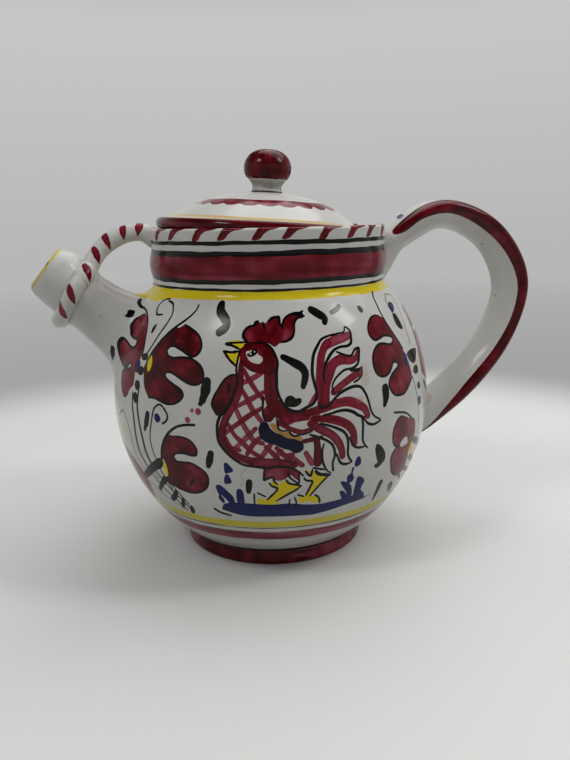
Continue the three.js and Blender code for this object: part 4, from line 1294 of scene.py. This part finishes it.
def pot_rows():
    """Points of the pot's panel, closest together on the painted front."""
    widen = widening(BELLY_RADIUS, pot)
    left, right = POT_SPAN[:2]
    front = -118 * DEGREE
    end = 72 * DEGREE
    low = -43
    top = pot.way_at(BELLY_END, slice(0, INSIDE.start))
    foot = pot.way_at(POT_BASE + 0.01, slice(0, INSIDE.start))
    mouth = RIM_WAY + 6
    return np.vstack([
        strip(POT_SPAN, pot.low, foot, 6, widen),
        strip(POT_SPAN, foot, low, 2.6, widen),
        grid((front, low), (end, top), 1.25),
        grid((left, low), (front, top), 2.8),
        grid((end, low), (right, top), 2.8),
        strip(POT_SPAN, top, mouth, 1.5),
        strip(POT_SPAN, mouth, pot.high, 4, widen),
    ])


def pot_layout(corners):
    """Texture places: painted front, back and inside in three strips."""
    a = corners[..., 0] / DEGREE
    v = corners[..., 1]
    middle = a.mean(1)
    start, end = -100, 80
    turned = np.where(middle < start, 360, 0)[:, None]
    front = ((middle > start) & (middle < end))[:, None]
    hidden = (v.mean(1) > RIM_WAY + 2)[:, None]
    across = np.where(front, (a - start) / 180, (a + turned - end) / 180)
    rise = np.clip((v - pot.low) / (RIM_WAY + 3 - pot.low), 0, 1)
    height = np.where(front, 0.03 + 0.48 * rise, 0.53 + 0.3 * rise)
    depth = 0.85 + 0.14 * (v - RIM_WAY) / (pot.high - RIM_WAY)
    x = np.where(hidden, (a + 180) / 360, across)
    return np.stack([0.015 + 0.97 * x, np.where(hidden, depth, height)], -1)


pot_piece = build("painted_pot", pot_place, POT_SPAN, pot_paint, pot_rows(), holes=(spout_gap, pour_gap),
                  join=(spout_gap[::-1], pour_gap[::-1]), layout=pot_layout)
finish_piece(pot_piece, "jug", "body")

# Foot
foot_line = Profile(np.vstack([
    [[AT_AXIS, 0.25], [FOOT_RADIUS - 7, 0.25], [FOOT_RADIUS - 5.5, 0]],
    arc(FOOT_RADIUS - 0.9, 0.9, 0.9, -90, 0),
    arc(FOOT_RADIUS - 1.3, FOOT_HEIGHT - 0.7, 0.7, 0, 90),
    [[FOOT_RADIUS - 6, POT_BASE + 0.1], [AT_AXIS, POT_BASE + 0.1]],
]), (FOOT_RADIUS, 0.9))
FOOT_SPAN = (-180 * DEGREE, 180 * DEGREE, foot_line.low, foot_line.high)


def foot_place(u, v):
    """The foot, turned and a little uneven."""
    turn = u / BELLY_RADIUS
    radius, height = foot_line.at(v)
    radius = radius + 0.15 * np.sin(2 * turn + 1) * (radius > 30)
    return np.stack([radius * np.sin(turn), -radius * np.cos(turn), height], 1)


foot_paint = Paint(FOOT_SPAN)
foot_paint.band(WHITE, -0.7, 6.7, 1.0, False, 0.2)
foot_paint.wash_band(-0.7, 6.7, 0.48, 0.2)
foot_paint.wash_band(-0.7, 1.4, 0.5, 0.5)
# Three darker crimson strokes go round the foot. They cover the left front and leave only the thin wash on
# the right front, so the foot is paler on the right: partly uneven brushwork, partly painted highlight and
# painted shade for light falling from the right.
foot_stroke = [
    (0, 2.4), (9, 0.5), (30, -0.7), (82, -0.7), (104, 0.9), (88, 2.6), (112, 4.1), (84, 5.4), (66, 6.7),
    (20, 6.7), (5, 5.2),
]
for start in (-88, 62, 160):
    foot_paint.wash([(start + along, height) for along, height in foot_stroke], 0.95)
foot_paint.band(BLACK, 5.3, 8, 1.0, False, 0.3)
foot_paint.band(BLACK, -1.2, -0.3, 0.55, False, 0.2)
foot_piece = build("foot_ring", foot_place, FOOT_SPAN, foot_paint, np.vstack([
    strip(FOOT_SPAN, foot_line.low, -3, 5, widening(BELLY_RADIUS, foot_line)),
    strip(FOOT_SPAN, -3, 9, 1.2, lambda v: 1.6),
    strip(FOOT_SPAN, 9, foot_line.high, 6, widening(BELLY_RADIUS, foot_line)),
]), base=CLAY)
finish_piece(foot_piece, "jug", "foot")

# Spout tube with its mouth and bore
bore = SPOUT_MOUTH - SPOUT_WALL
spout_line = Profile(np.vstack([
    [[12.2, 2.0]], tube_line[tube_line[:, 0] > 5][:, ::-1],
    arc(SPOUT_MOUTH - 1.3, SPOUT_LENGTH - 1.3, 1.3, 0, 90),
    arc(bore + 1.3, SPOUT_LENGTH - 1.3, 1.3, 90, 180),
    [
        [bore, SPOUT_LENGTH * 0.7], [POUR_HOLE, SPOUT_LENGTH * 0.4], [POUR_HOLE, -6.5], [10, -5.5],
        [12.2, 2.0],
    ],
]))
SPOUT_ROUND = 80.0
SPOUT_SPAN = (0, SPOUT_ROUND, spout_line.low, spout_line.high)
MOUTH_WAY = spout_line.way[spout_line.line[:, 1].argmax()]


def spout_place(u, v):
    """The spout, with its lip, the ridge by the coil and an uneven wall."""
    turn = 2 * np.pi * u / SPOUT_ROUND
    radius, way = spout_line.at(v)
    outer = np.clip((MOUTH_WAY - v) / 3, 0, 1)
    bulge = 1.2 * np.maximum(0, np.sin(turn)) ** 2 * np.exp(-(((way - 36.5) / 4.5) ** 2))
    hand = 0.15 * np.sin(2 * turn + way / 8) + 0.1 * np.sin(3 * turn + 1.2)
    lift = 0.5 * np.sin(turn - 0.5) * np.clip((way - 30) / 13, 0, 1)
    ridge = 0.7 * np.exp(-(((way - 22.9 - 2.2 * np.sin(turn)) / 0.8) ** 2))
    return spout_ring(turn, way + lift, radius + outer * (bulge + ridge + hand * (way > 12)))


spout_paint = Paint(SPOUT_SPAN)
spout_paint.band(DULL_YELLOW, MOUTH_WAY - 2.1, MOUTH_WAY + 2.4, 0.9, wobble=0.45)
for at, rise, wide, high in (
    (4, -0.9, 1.6, 0.5), (13, 0.2, 0.7, 0.4), (19, -0.6, 1.1, 0.6), (24, -1.1, 0.6, 0.4),
    (37, 0.4, 1.3, 0.5), (52, -0.4, 0.8, 0.5), (57, -1, 1.4, 0.4), (71, -0.3, 0.9, 0.6),
):
    spout_paint.oval(TAN * 0.35, (at, MOUTH_WAY + rise), wide, high, 0.9)
spout_rows = strip(SPOUT_SPAN, spout_line.low, spout_line.high, 1.5)
spout_piece = build("spout_tube", spout_place, SPOUT_SPAN, spout_paint, spout_rows)
finish_piece(spout_piece, "jug", "spout")

# Coil round the spout
COLLAR_BACK = 16.4
COLLAR_LEAN = math.radians(9)
COLLAR_SIZE = 3.5
collar_middle = ROOT + (SPOUT_LENGTH - COLLAR_BACK) * AXIS
collar_up = math.cos(COLLAR_LEAN) * OVER + math.sin(COLLAR_LEAN) * AXIS
collar_axis = math.cos(COLLAR_LEAN) * AXIS - math.sin(COLLAR_LEAN) * OVER
COLLAR_RADIUS = 14.0
COLLAR_CREST = 15.0
RING_HALF = 180 * 0.28
COIL_HALF = 11.0
COLLAR_SPAN = (-RING_HALF, RING_HALF, -COIL_HALF, COIL_HALF)


def collar_place(u, v):
    """u runs round the ring from the near side over the top; v runs round the coil from its hidden inside."""
    turn = np.pi * u / RING_HALF
    bend = np.pi * v / COIL_HALF
    tip = 0.16 * np.exp(-(((np.sin(turn) + 1) / 0.12) ** 2))
    thick = COLLAR_SIZE * (1 + 0.05 * np.sin(3 * turn + 1) + tip - 0.2 * np.exp(-(((turn - 1.1) / 0.5) ** 2)))
    out = COLLAR_RADIUS + 0.3 * np.sin(turn) + thick * np.cos(bend)
    along = thick * 0.96 * np.sin(bend) + 0.35 * np.sin(2 * turn + 0.8)
    ring = np.cos(turn)[:, None] * NEAR + np.sin(turn)[:, None] * collar_up
    return collar_middle + out[:, None] * ring + along[:, None] * collar_axis


def wedge_dash(paint, start, end):
    """A dash laid across a coil: broad where the brush landed, pointed where it lifted."""
    middle = ((start[0] + end[0]) / 2, (start[1] + end[1]) / 2)
    paint.wash_line([start, middle, end], 2.0, 3.1, 2.4, 0.7, cover=0.7)


collar_paint = Paint(COLLAR_SPAN)
for at in (-41.9, -34, -25, -8.3, 0.2, 25.9, 34.7, 42.3, 51.3):
    wedge_dash(collar_paint, (at + 2.6, 3.6), (at - 2.6, -3.0))
collar_rows = strip(COLLAR_SPAN, -COIL_HALF, COIL_HALF, 1.1)
collar_piece = build("spout_coil", collar_place, COLLAR_SPAN, collar_paint, collar_rows)
finish_piece(collar_piece, "jug", "spout_collar")


class Rail:
    """A bent bar along points in space: its path with an outward and a sideways direction."""

    def __init__(self, points):
        self.line = curve(points, 0.5)
        self.way = lengths(self.line)
        along = np.gradient(self.line, axis=0)
        out = np.cross(along, (0, 1, 0))
        side = np.cross(along, out)
        self.out = out / np.linalg.norm(out, axis=1)[:, None]
        self.side = side / np.linalg.norm(side, axis=1)[:, None]
        self.length = self.way[-1]

    def at(self, way):
        rows = np.concatenate([self.line, self.out, self.side], 1)
        mixed = np.stack([np.interp(way, self.way, column) for column in rows.T], 1)
        return np.split(mixed, 3, 1)


# Loop: it leaves the coil on the near side and climbs to the rim
def coil_point(degrees):
    """A point on the collar's middle line."""
    turn = math.radians(degrees)
    return collar_middle + COLLAR_RADIUS * (math.cos(turn) * NEAR + math.sin(turn) * collar_up)


collar_top = collar_middle + COLLAR_CREST * collar_up
loop_end = np.array([-RIM_RADIUS + 3.2, 0, RIM_TOP - 5])
loop_span = loop_end[0] - collar_top[0]
loop_climb = RIM_TOP - 0.9 - collar_top[2]
loop = Rail([coil_point(22), coil_point(36), coil_point(50), coil_point(62)] + [
    (collar_top[0] + x * loop_span, side, collar_top[2] + y * loop_climb)
    for x, side, y in (
        (0.035, -4.4, 0.13), (0.13, -2.3, 0.4), (0.265, -1.0, 0.65), (0.5, -0.2, 0.89), (0.78, 0, 0.945),
    )
] + [loop_end])
LOOP_RADIUS = 3.85
LOOP_ROUND = 22.0
LOOP_SPAN = (0, LOOP_ROUND, 0, loop.length)


def loop_place(u, v):
    """u runs round the coil, v along it from the collar to the rim."""
    turn = 2 * np.pi * u / LOOP_ROUND
    way = np.clip(v, 0, loop.length)
    spot, out, side = loop.at(way)
    flare = 1.02 - 0.16 * np.exp(-way / 3) + 0.2 * np.exp(-(loop.length - way) / 2.6)
    close = np.clip(np.minimum(way, loop.length - way) / 0.6, 0.02, 1)
    flare = flare * (1 + 0.03 * np.sin(way / 3.3)) * close
    radius = LOOP_RADIUS * flare
    return spot + (radius * np.cos(turn))[:, None] * out + (radius * 1.04 * np.sin(turn))[:, None] * side


loop_paint = Paint(LOOP_SPAN)
for start, end in (
    ((1.0, 39.5), (6.8, 38.5)), ((1.0, 33.3), (7.2, 31.6)), ((1.2, 25.4), (8.2, 22.9)),
    ((2.9, 17.9), (8.4, 13.5)), ((3.5, 6.6), (9, 2.6)),
):
    wedge_dash(loop_paint, start, end)
    wedge_dash(loop_paint, (LOOP_ROUND - start[0], start[1] - 3.5), (LOOP_ROUND - end[0], end[1] - 3.5))
loop_rows = strip(LOOP_SPAN, 0, loop.length, 1.1)
loop_piece = build("spout_loop", loop_place, LOOP_SPAN, loop_paint, loop_rows)
finish_piece(loop_piece, "jug", "bridge")

# Strap handle
STRAP_HALF = 6.5
STRAP_SIDE = 13.0
HANDLE_CREST = 10.1
HANDLE_REACH = 126.3
handle_top = RIM_TOP + HANDLE_CREST - STRAP_HALF
handle_out = HANDLE_REACH - STRAP_HALF
side_height = RIM_TOP - 30
top_height = RIM_TOP - 19
low_height = BELLY_HEIGHT - 18.5
top_root = NECK_RADIUS - 3.5
low_root = float(belly(np.array(low_height))) - 3.5
top_start = NECK_RADIUS - WALL
low_start = low_root - 1.5
top_climb = handle_top - top_height
top_span = handle_out - top_start
low_drop = side_height - low_height
low_span = handle_out - low_start
handle = Rail([
    (top_root, 0, top_height - 0.08 * top_climb),
    (top_start + 0.21 * top_span, 0, top_height + 0.57 * top_climb),
    (top_start + 0.5 * top_span, 0, handle_top),
    (top_start + 0.83 * top_span, 0, side_height + 0.69 * (handle_top - side_height)),
    (handle_out, 0, side_height),
    (low_start + 0.84 * low_span, 0, side_height - 0.425 * low_drop),
    (low_start + 0.475 * low_span, 0, low_height + 0.23 * low_drop),
    (low_root - 0.8, 0, low_height - 0.05 * low_drop),
])
outer_wall = pot.line[(pot.way > pot.low * 0.6) & (pot.way < RIM_WAY)]
outer_wall = outer_wall[np.argsort(outer_wall[:, 1])]
top_wall = np.array([0, 0, 1.0])
low_wall = np.array([float(belly(np.array(low_height - 4)) - belly(np.array(low_height + 4))), 0, -8.0])
low_wall /= np.linalg.norm(low_wall)
near_side = [
    (STRAP_HALF, 9), (STRAP_HALF - 1.6, 12.3), (STRAP_HALF - 3.4, STRAP_SIDE), (STRAP_HALF - 5.4, 12.2),
    (STRAP_HALF - 8.6, 9.6), (STRAP_HALF - 11.6, 5.4),
]
far_side = [(face, -side) for face, side in near_side[::-1]]
strap_section = curve([(STRAP_HALF + 0.3, 0), *near_side, (-STRAP_HALF, 0), *far_side], 0.3, True)
strap_section = np.vstack([strap_section, strap_section[:1]])
strap_way = lengths(strap_section)
STRAP_ROUND = strap_way[-1]
HANDLE_SPAN = (0, STRAP_ROUND, 0, handle.length)


def handle_place(u, v):
    """u runs round the strap from the middle of its outer face over the near edge; v runs from the rim."""
    way = np.clip(v, 0, handle.length)
    spot, out, across = handle.at(way)
    u = np.mod(u, STRAP_ROUND)
    face = np.interp(u, strap_way, strap_section[:, 0])
    side = np.interp(u, strap_way, strap_section[:, 1])
    rest = handle.length - way
    for gap, wall in ((way, top_wall), (rest, low_wall)):
        share = np.exp(-((gap / 7) ** 2))[:, None]
        out = out * (1 - share) + share * wall
    out = out / np.linalg.norm(out, axis=1)[:, None]
    thick = 1 + 0.12 * np.exp(-way / 9) + 0.25 * np.exp(-way / 3) + 0.2 * np.exp(-rest / 12)
    thick = thick - 0.3 * np.exp(-rest / 3)
    fillet = 1.4 * np.exp(-way / 3.5) - 0.14 * np.exp(-(((way - 16) / 8) ** 2))
    thick = thick + np.where(face < 0, fillet, 0)
    wide = 1 - 0.05 * np.exp(-way / 12) + 0.14 * np.exp(-way / 2.5) - 0.08 * np.exp(-rest / 12)
    wide = wide + 0.16 * np.exp(-rest / 3)
    close = np.clip(np.minimum(way, rest) / 0.5, 0.02, 1)
    hand = 1 + 0.012 * np.sin(way / 11) + 0.008 * np.sin(way / 4.7 + 1)
    lean = 0.35 * np.sin(way / 40)
    rise = (face * thick * close * hand)[:, None]
    shift = (side * wide * close * hand - lean)[:, None]
    place = spot + rise * out + shift * across
    # Where a root lies in the wall, it stays in the middle of the wall's thickness
    middle = np.interp(place[:, 2], outer_wall[:, 1], outer_wall[:, 0]) - WALL / 2
    place[:, 0] = np.maximum(place[:, 0], np.sqrt(np.clip(middle ** 2 - place[:, 1] ** 2, 0, None)))
    return place


handle_paint = Paint(HANDLE_SPAN)
near_edge = [
    (12.8, 16.4), (10.2, 17.4), (8.8, 22), (7.8, 27), (6.4, 35), (7.4, 44), (9.6, 56), (10.2, 80),
    (10, 110), (10.4, 140), (11, 160), (11.8, 176), (12.6, 183), (14.6, 174), (17, 162), (18.6, 148),
    (18.6, 132), (17.9, 114), (18.3, 96), (19.2, 80), (19.8, 66), (18.8, 52), (17, 40), (15.2, 30),
    (15, 20),
]
for mirror in (False, True):
    outline = [(STRAP_ROUND - x if mirror else x, y) for x, y in near_edge]
    handle_paint.wash(outline, 1.15)
    for index in range(4):
        x = 11.4 + 1.6 * index
        x = STRAP_ROUND - x if mirror else x
        streak = [(x, 36 + 9 * index), (x + 0.4, 90), (x - 0.3, 150 - 7 * index)]
        handle_paint.wash_line(streak, 0.5, 1.0, 0.6, cover=0.9)
handle_paint.line(NAVY, [(0.2, 26), (1.8, 25.6), (3.4, 25.2)], 2.6, 3.4, 2.4)
handle_paint.line(
    NAVY, [(STRAP_ROUND - 3.4, 26.8), (STRAP_ROUND - 1.8, 26.4), (STRAP_ROUND - 0.2, 26)], 2.2, 3.2, 2.6,
)
for at in (50, 76, 102, 128):
    handle_paint.line(NAVY, [(2.0, at - 2.6), (4.4, at), (6.2, at + 2.6)], 1.4, 2.2, 0.9)
    far_dash = [(STRAP_ROUND - 6.2, at - 2.6), (STRAP_ROUND - 4.4, at), (STRAP_ROUND - 2.0, at + 2.6)]
    handle_paint.line(NAVY, far_dash, 0.9, 2.2, 1.4)
handle_paint.oval(TAN, (STRAP_ROUND / 2 - 6, handle.length - 13), 3.5, 6, 0.3)
for x, y in ((STRAP_ROUND / 2 - 5, 70), (STRAP_ROUND / 2 - 2, 104), (STRAP_ROUND / 2 + 6, 48)):
    handle_paint.oval(GREY, (x, y), 0.5, 0.7, 0.7)
handle_rows = strip(HANDLE_SPAN, 0, handle.length, 1.5)
handle_piece = build("strap_handle", handle_place, HANDLE_SPAN, handle_paint, handle_rows)
finish_piece(handle_piece, "jug", "handle")

# Lid: its tilt and place come from the solid, whose flattest direction is its axis
lid_points = np.array([v.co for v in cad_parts["lid"].data.vertices], float) * 1000
lid_points = np.unique(np.round(lid_points, 3), axis=0)
lid_middle = lid_points.mean(0)
lid_up = np.linalg.eigh(np.cov((lid_points - lid_middle).T))[1][:, 0]
lid_up = lid_up * np.sign(lid_up[2])
lid_base = lid_middle + lid_up * ((lid_points - lid_middle) @ lid_up).min()
lid_right = np.cross((0, 1.0, 0), lid_up)
lid_right /= np.linalg.norm(lid_right)
lid_back = np.cross(lid_up, lid_right)
LID_RADIUS = 49.1
LID_EDGE = 4.9
LID_RISE = 13.1
LID_TOP = LID_EDGE + LID_RISE
LID_WALL = 5.0
LID_SEAT = 4.5


def lid_turned(line):
    """A place function that turns a line round the lid's own axis."""
    def place(u, v):
        turn = u / LID_RADIUS
        radius, height = line.at(v)
        hand = 1 + 0.0025 * np.sin(2 * turn + 0.6) * (radius > 12)
        sag = 2 * np.clip(np.sin(turn), 0, 1) * np.exp(-(((radius - 41) / 6.5) ** 2))
        height = height - sag * (height > LID_EDGE - 0.3)
        flat = np.sin(turn)[:, None] * lid_right - np.cos(turn)[:, None] * lid_back
        return lid_base + (radius * hand)[:, None] * flat + height[:, None] * lid_up

    return place


lid_line = Profile(np.vstack([
    [[AT_AXIS, LID_TOP - LID_WALL], [12, LID_TOP - LID_WALL - 0.8]],
    curve([
        (12, LID_TOP - LID_WALL - 0.8), (28, LID_EDGE + 4), (40, 2.4),
        (LID_RADIUS - LID_SEAT - 1, 0.2), (LID_RADIUS - LID_SEAT, 0),
    ])[1:],
    arc(LID_RADIUS - 2.0, 2.0, 2.0, -90, 0),
    arc(LID_RADIUS - 2.4, LID_EDGE - 2.2, 2.4, 0, 75),
    curve([
        (LID_RADIUS - 1.9, LID_EDGE), (LID_RADIUS - 6, LID_EDGE + 0.85), (38, LID_EDGE + 3.4),
        (33, LID_EDGE + 5.9), (28, LID_EDGE + 8.1), (18, LID_EDGE + 11.3), (9, LID_TOP - 0.4),
        (AT_AXIS, LID_TOP),
    ])[1:],
]), (LID_RADIUS, LID_EDGE - 2.2))
LID_SPAN = (-math.pi * LID_RADIUS, math.pi * LID_RADIUS, lid_line.low, lid_line.high)
lid_top_rows = lid_line.way > 0


def lid_way(radius):
    """Distance along the lid's top from its edge to a radius."""
    ways, radii = lid_line.way[lid_top_rows], lid_line.line[lid_top_rows, 0]
    return float(np.interp(-radius, -radii, ways))


lid_paint = Paint(LID_SPAN)
lid_paint.wash_band(-2.6, lid_way(46.6), 1.25, 0.2)
lid_paint.band(LID_OCHRE, lid_way(45.2), lid_way(41.6), 0.9, False, 0.25)
lid_paint.band(TAN, lid_way(13.4), lid_way(8.8), 0.55, False, 0.2)
lid_paint.band(BLACK, lid_way(9.0), lid_way(7.0), 0.95, False, 0.15)
SCALLOPS = 24
scallop_turns = np.arange(SCALLOPS * 4 + 1) / 4
garland_out = [lid_way(30.4 + 2.3 * abs(math.sin(math.pi * (turn + 0.06 * math.sin(2.7 * turn)))) ** 0.6)
               for turn in scallop_turns]
garland_in = [lid_way(26.2 + 0.3 * math.sin(1.9 * turn)) for turn in scallop_turns]
garland_u = LID_SPAN[0] + scallop_turns * 2 * math.pi * LID_RADIUS / SCALLOPS
lid_paint.wash(list(zip(garland_u, garland_out)) + list(zip(garland_u, garland_in))[::-1], 0.8)
lid_piece = build("domed_lid", lid_turned(lid_line), LID_SPAN, lid_paint, np.vstack([
    strip(LID_SPAN, lid_line.low, -6, 3.5, widening(LID_RADIUS, lid_line)),
    strip(LID_SPAN, -6, 8, 1.3),
    strip(LID_SPAN, 8, lid_line.high, 1.6, widening(LID_RADIUS, lid_line)),
]))
finish_piece(lid_piece, "lid", "lid")

# Knob
KNOB_FOOT = LID_TOP
knob_points = np.array([v.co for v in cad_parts["lid_knob"].data.vertices], float) * 1000
KNOB_TOP = float(((knob_points - lid_base) @ lid_up).max())
KNOB_RADIUS = 10.6
knob_line = Profile(np.vstack([
    [[AT_AXIS, KNOB_FOOT - 1.5], [7.6, KNOB_FOOT - 1.5]],
    curve([
        (7.8, KNOB_FOOT - 1.0), (7.1, KNOB_FOOT + 0.1), (6.2, KNOB_FOOT + 1.1), (5.8, KNOB_FOOT + 2.4),
        (6.3, KNOB_FOOT + 3.7), (7.8, KNOB_FOOT + 4.9), (9.6, KNOB_FOOT + 6.4),
        (KNOB_RADIUS, KNOB_TOP - 8.8), (10.4, KNOB_TOP - 6.2), (8.8, KNOB_TOP - 3.2), (6.2, KNOB_TOP - 1.2),
        (3.2, KNOB_TOP - 0.25), (AT_AXIS, KNOB_TOP),
    ], 0.4),
]))
KNOB_SPAN = (-math.pi * LID_RADIUS, math.pi * LID_RADIUS, knob_line.low, knob_line.high)
knob_paint = Paint(KNOB_SPAN)
knob_neck = float(np.interp(KNOB_FOOT + 5.4, knob_line.line[:, 1], knob_line.way))
knob_paint.band(BLACK, knob_line.low + 8.6, knob_line.low + 9.7, 0.95, False, 0.1)
knob_paint.wash_band(knob_neck, knob_line.high + 5, 1.25, 0.25)
knob_paint.wash_band(knob_neck + 1.6, knob_neck + 7.5, 0.25, 0.5)
knob_rows = strip(KNOB_SPAN, knob_line.low, knob_line.high, 1.0, widening(LID_RADIUS, knob_line, 2))
knob_piece = build("ball_knob", lid_turned(knob_line), KNOB_SPAN, knob_paint, knob_rows)
finish_piece(knob_piece, "lid", "lid_knob")

# Floor
BACKDROP = paint_colour(182, 183, 182)
FLOOR_SEEN = paint_colour(236, 237, 235)
FLOOR_BOUNCE = paint_colour(198, 199, 197)
FLOOR_HALF = 3.0


def ramp(tree, *stops):
    """A colour ramp through stops of position and colour."""
    made = node(tree, "ShaderNodeValToRGB")
    elements = made.color_ramp.elements
    for index, (position, colour) in enumerate(stops):
        stop = elements[index] if index < 2 else elements.new(position)
        stop.position = position
        stop.color = (*colour, 1)
    return made


def seen_ray(tree):
    """1 where the camera, a reflection or glass looks at the surface, 0 where it only lights the object."""
    path = node(tree, "ShaderNodeLightPath").outputs
    mirrored = node(tree, "ShaderNodeMath", operation="MAXIMUM")
    looked_at = node(tree, "ShaderNodeMath", operation="MAXIMUM")
    link(
        tree,
        (path["Is Glossy Ray"], mirrored.inputs[0]),
        (path["Is Transmission Ray"], mirrored.inputs[1]),
        (path["Is Camera Ray"], looked_at.inputs[0]),
        (mirrored.outputs[0], looked_at.inputs[1]),
    )
    return looked_at.outputs[0]


floor_mesh = bpy.data.meshes.new("floor")
floor_corners = [(x * FLOOR_HALF, y * FLOOR_HALF, 0) for x, y in ((-1, -1), (1, -1), (1, 1), (-1, 1))]
floor_mesh.from_pydata(floor_corners, [], [(0, 1, 2, 3)])
floor = bpy.data.objects.new("floor", floor_mesh)
bpy.context.scene.collection.objects.link(floor)
floor_material = bpy.data.materials.new("pale_floor")
floor_material.use_nodes = True
tree = floor_material.node_tree
floor_shader = tree.nodes["Principled BSDF"]
floor_colour = node(tree, "ShaderNodeMix", data_type="RGBA")
floor_colour.inputs[6].default_value = (*FLOOR_BOUNCE, 1)
floor_colour.inputs[7].default_value = (*FLOOR_SEEN, 1)
floor_shader.inputs["Roughness"].default_value = 0.55
floor_place = node(tree, "ShaderNodeTexCoord").outputs["Object"]
floor_reach = node(tree, "ShaderNodeVectorMath", operation="LENGTH")
grain = node(tree, "ShaderNodeTexNoise", in_Scale=240.0, in_Detail=3.0)
floor_bump = node(tree, "ShaderNodeBump", in_Strength=0.05, in_Distance=0.0005)
far_share = node(
    tree, "ShaderNodeMapRange", interpolation_type="SMOOTHSTEP", in_1=0.27, in_2=0.42, in_3=0.0, in_4=1.0,
)
far_seen = node(tree, "ShaderNodeMath", operation="MULTIPLY")
far_tone = ramp(tree, (0.1, paint_colour(160, 161, 160)), (0.5, BACKDROP))
far_scale = node(tree, "ShaderNodeMath", operation="DIVIDE", in_1=FLOOR_HALF)
far_glow = node(tree, "ShaderNodeEmission")
floor_mix = node(tree, "ShaderNodeMixShader")
floor_seen = seen_ray(tree)
link(
    tree,
    (floor_seen, floor_colour.inputs[0]),
    (floor_colour.outputs[2], floor_shader.inputs["Base Color"]),
    (floor_place, grain.inputs["Vector"]),
    (grain.outputs["Fac"], floor_bump.inputs["Height"]),
    (floor_bump.outputs["Normal"], floor_shader.inputs["Normal"]),
    (floor_place, floor_reach.inputs[0]),
    (floor_reach.outputs["Value"], far_share.inputs["Value"]),
    (floor_reach.outputs["Value"], far_scale.inputs[0]),
    (far_scale.outputs[0], far_tone.inputs["Fac"]),
    (far_tone.outputs["Color"], far_glow.inputs["Color"]),
    (far_share.outputs["Result"], far_seen.inputs[0]),
    (floor_seen, far_seen.inputs[1]),
    (far_seen.outputs[0], floor_mix.inputs[0]),
    (floor_shader.outputs[0], floor_mix.inputs[1]),
    (far_glow.outputs[0], floor_mix.inputs[2]),
    (floor_mix.outputs[0], tree.nodes["Material Output"].inputs["Surface"]),
)
floor_mesh.materials.append(floor_material)


# Light
def lamp(name, place, aim, size, power):
    """A soft rectangular lamp; places and sizes are in metres."""
    light = bpy.data.lights.new(name, "AREA")
    light.shape = "RECTANGLE"
    light.size, light.size_y = size
    light.energy = power
    made = bpy.data.objects.new(name, light)
    made.location = place
    made.rotation_euler = (Vector(aim) - Vector(place)).to_track_quat("-Z", "Y").to_euler()
    bpy.context.scene.collection.objects.link(made)


lamp("overhead", place=(0.35, 0.32, 1.0), aim=(0, 0, 0.08), size=(1.2, 0.8), power=5.0)
lamp("window_left", place=(-0.59, -0.32, 0.85), aim=(0, 0, 0.1), size=(0.21, 0.2), power=1.6)
lamp("window_right", place=(0.66, -0.26, 0.8), aim=(0, 0, 0.1), size=(0.18, 0.28), power=2.0)
world = bpy.data.worlds.new("studio")
world.use_nodes = True
tree = world.node_tree
background = tree.nodes["Background"]
direction = node(tree, "ShaderNodeTexCoord").outputs["Generated"]
rise = node(tree, "ShaderNodeSeparateXYZ")
room = ramp(tree, (0.6, (0.03, 0.03, 0.03)), (0.95, (0.5, 0.5, 0.5)))
wall = paint_colour(198, 199, 198)
ceiling = paint_colour(60, 60, 60)
backdrop = ramp(tree, (0.48, BACKDROP), (0.62, wall), (0.82, ceiling))
shift = node(tree, "ShaderNodeMapRange", in_1=-1.0, in_2=1.0, in_3=0.0, in_4=1.0)
seen = seen_ray(tree)
choice = node(tree, "ShaderNodeMix", data_type="RGBA")
link(
    tree,
    (direction, rise.inputs[0]),
    (rise.outputs["Z"], shift.inputs["Value"]),
    (shift.outputs["Result"], room.inputs["Fac"]),
    (shift.outputs["Result"], backdrop.inputs["Fac"]),
    (seen, choice.inputs[0]),
    (room.outputs["Color"], choice.inputs[6]),
    (backdrop.outputs["Color"], choice.inputs[7]),
    (choice.outputs[2], background.inputs["Color"]),
)
bpy.context.scene.world = world

# Camera
SENSOR = 36
FOCAL_PIXELS = 700
PHOTO_HEIGHT = 760
CAMERA_AWAY = 0.3265
CAMERA_HEIGHT = 0.1502
CAMERA_TURN = math.radians(10)
PITCH = math.radians(13.09)
YAW = math.radians(1.18)
ROLL = math.radians(1.13)
forward = Vector((math.sin(YAW) * math.cos(PITCH), math.cos(YAW) * math.cos(PITCH), -math.sin(PITCH)))
level = Vector((math.cos(YAW), -math.sin(YAW), 0))
upright = level.cross(forward)
right = math.cos(ROLL) * level - math.sin(ROLL) * upright
up = math.sin(ROLL) * level + math.cos(ROLL) * upright
spin = Matrix.Rotation(-CAMERA_TURN, 3, "Z")
axes = Matrix((spin @ right, spin @ up, -(spin @ forward))).transposed()
camera = bpy.data.cameras.new("camera")
camera.sensor_fit = "AUTO"
camera.sensor_width = SENSOR
camera.lens = SENSOR * FOCAL_PIXELS / PHOTO_HEIGHT
camera.clip_start = 0.01
view = bpy.data.objects.new("camera", camera)
view.matrix_world = Matrix.Translation(spin @ Vector((0, -CAMERA_AWAY, CAMERA_HEIGHT))) @ axes.to_4x4()
bpy.context.scene.collection.objects.link(view)
bpy.context.scene.camera = view
bpy.context.scene.view_settings.view_transform = "Standard"
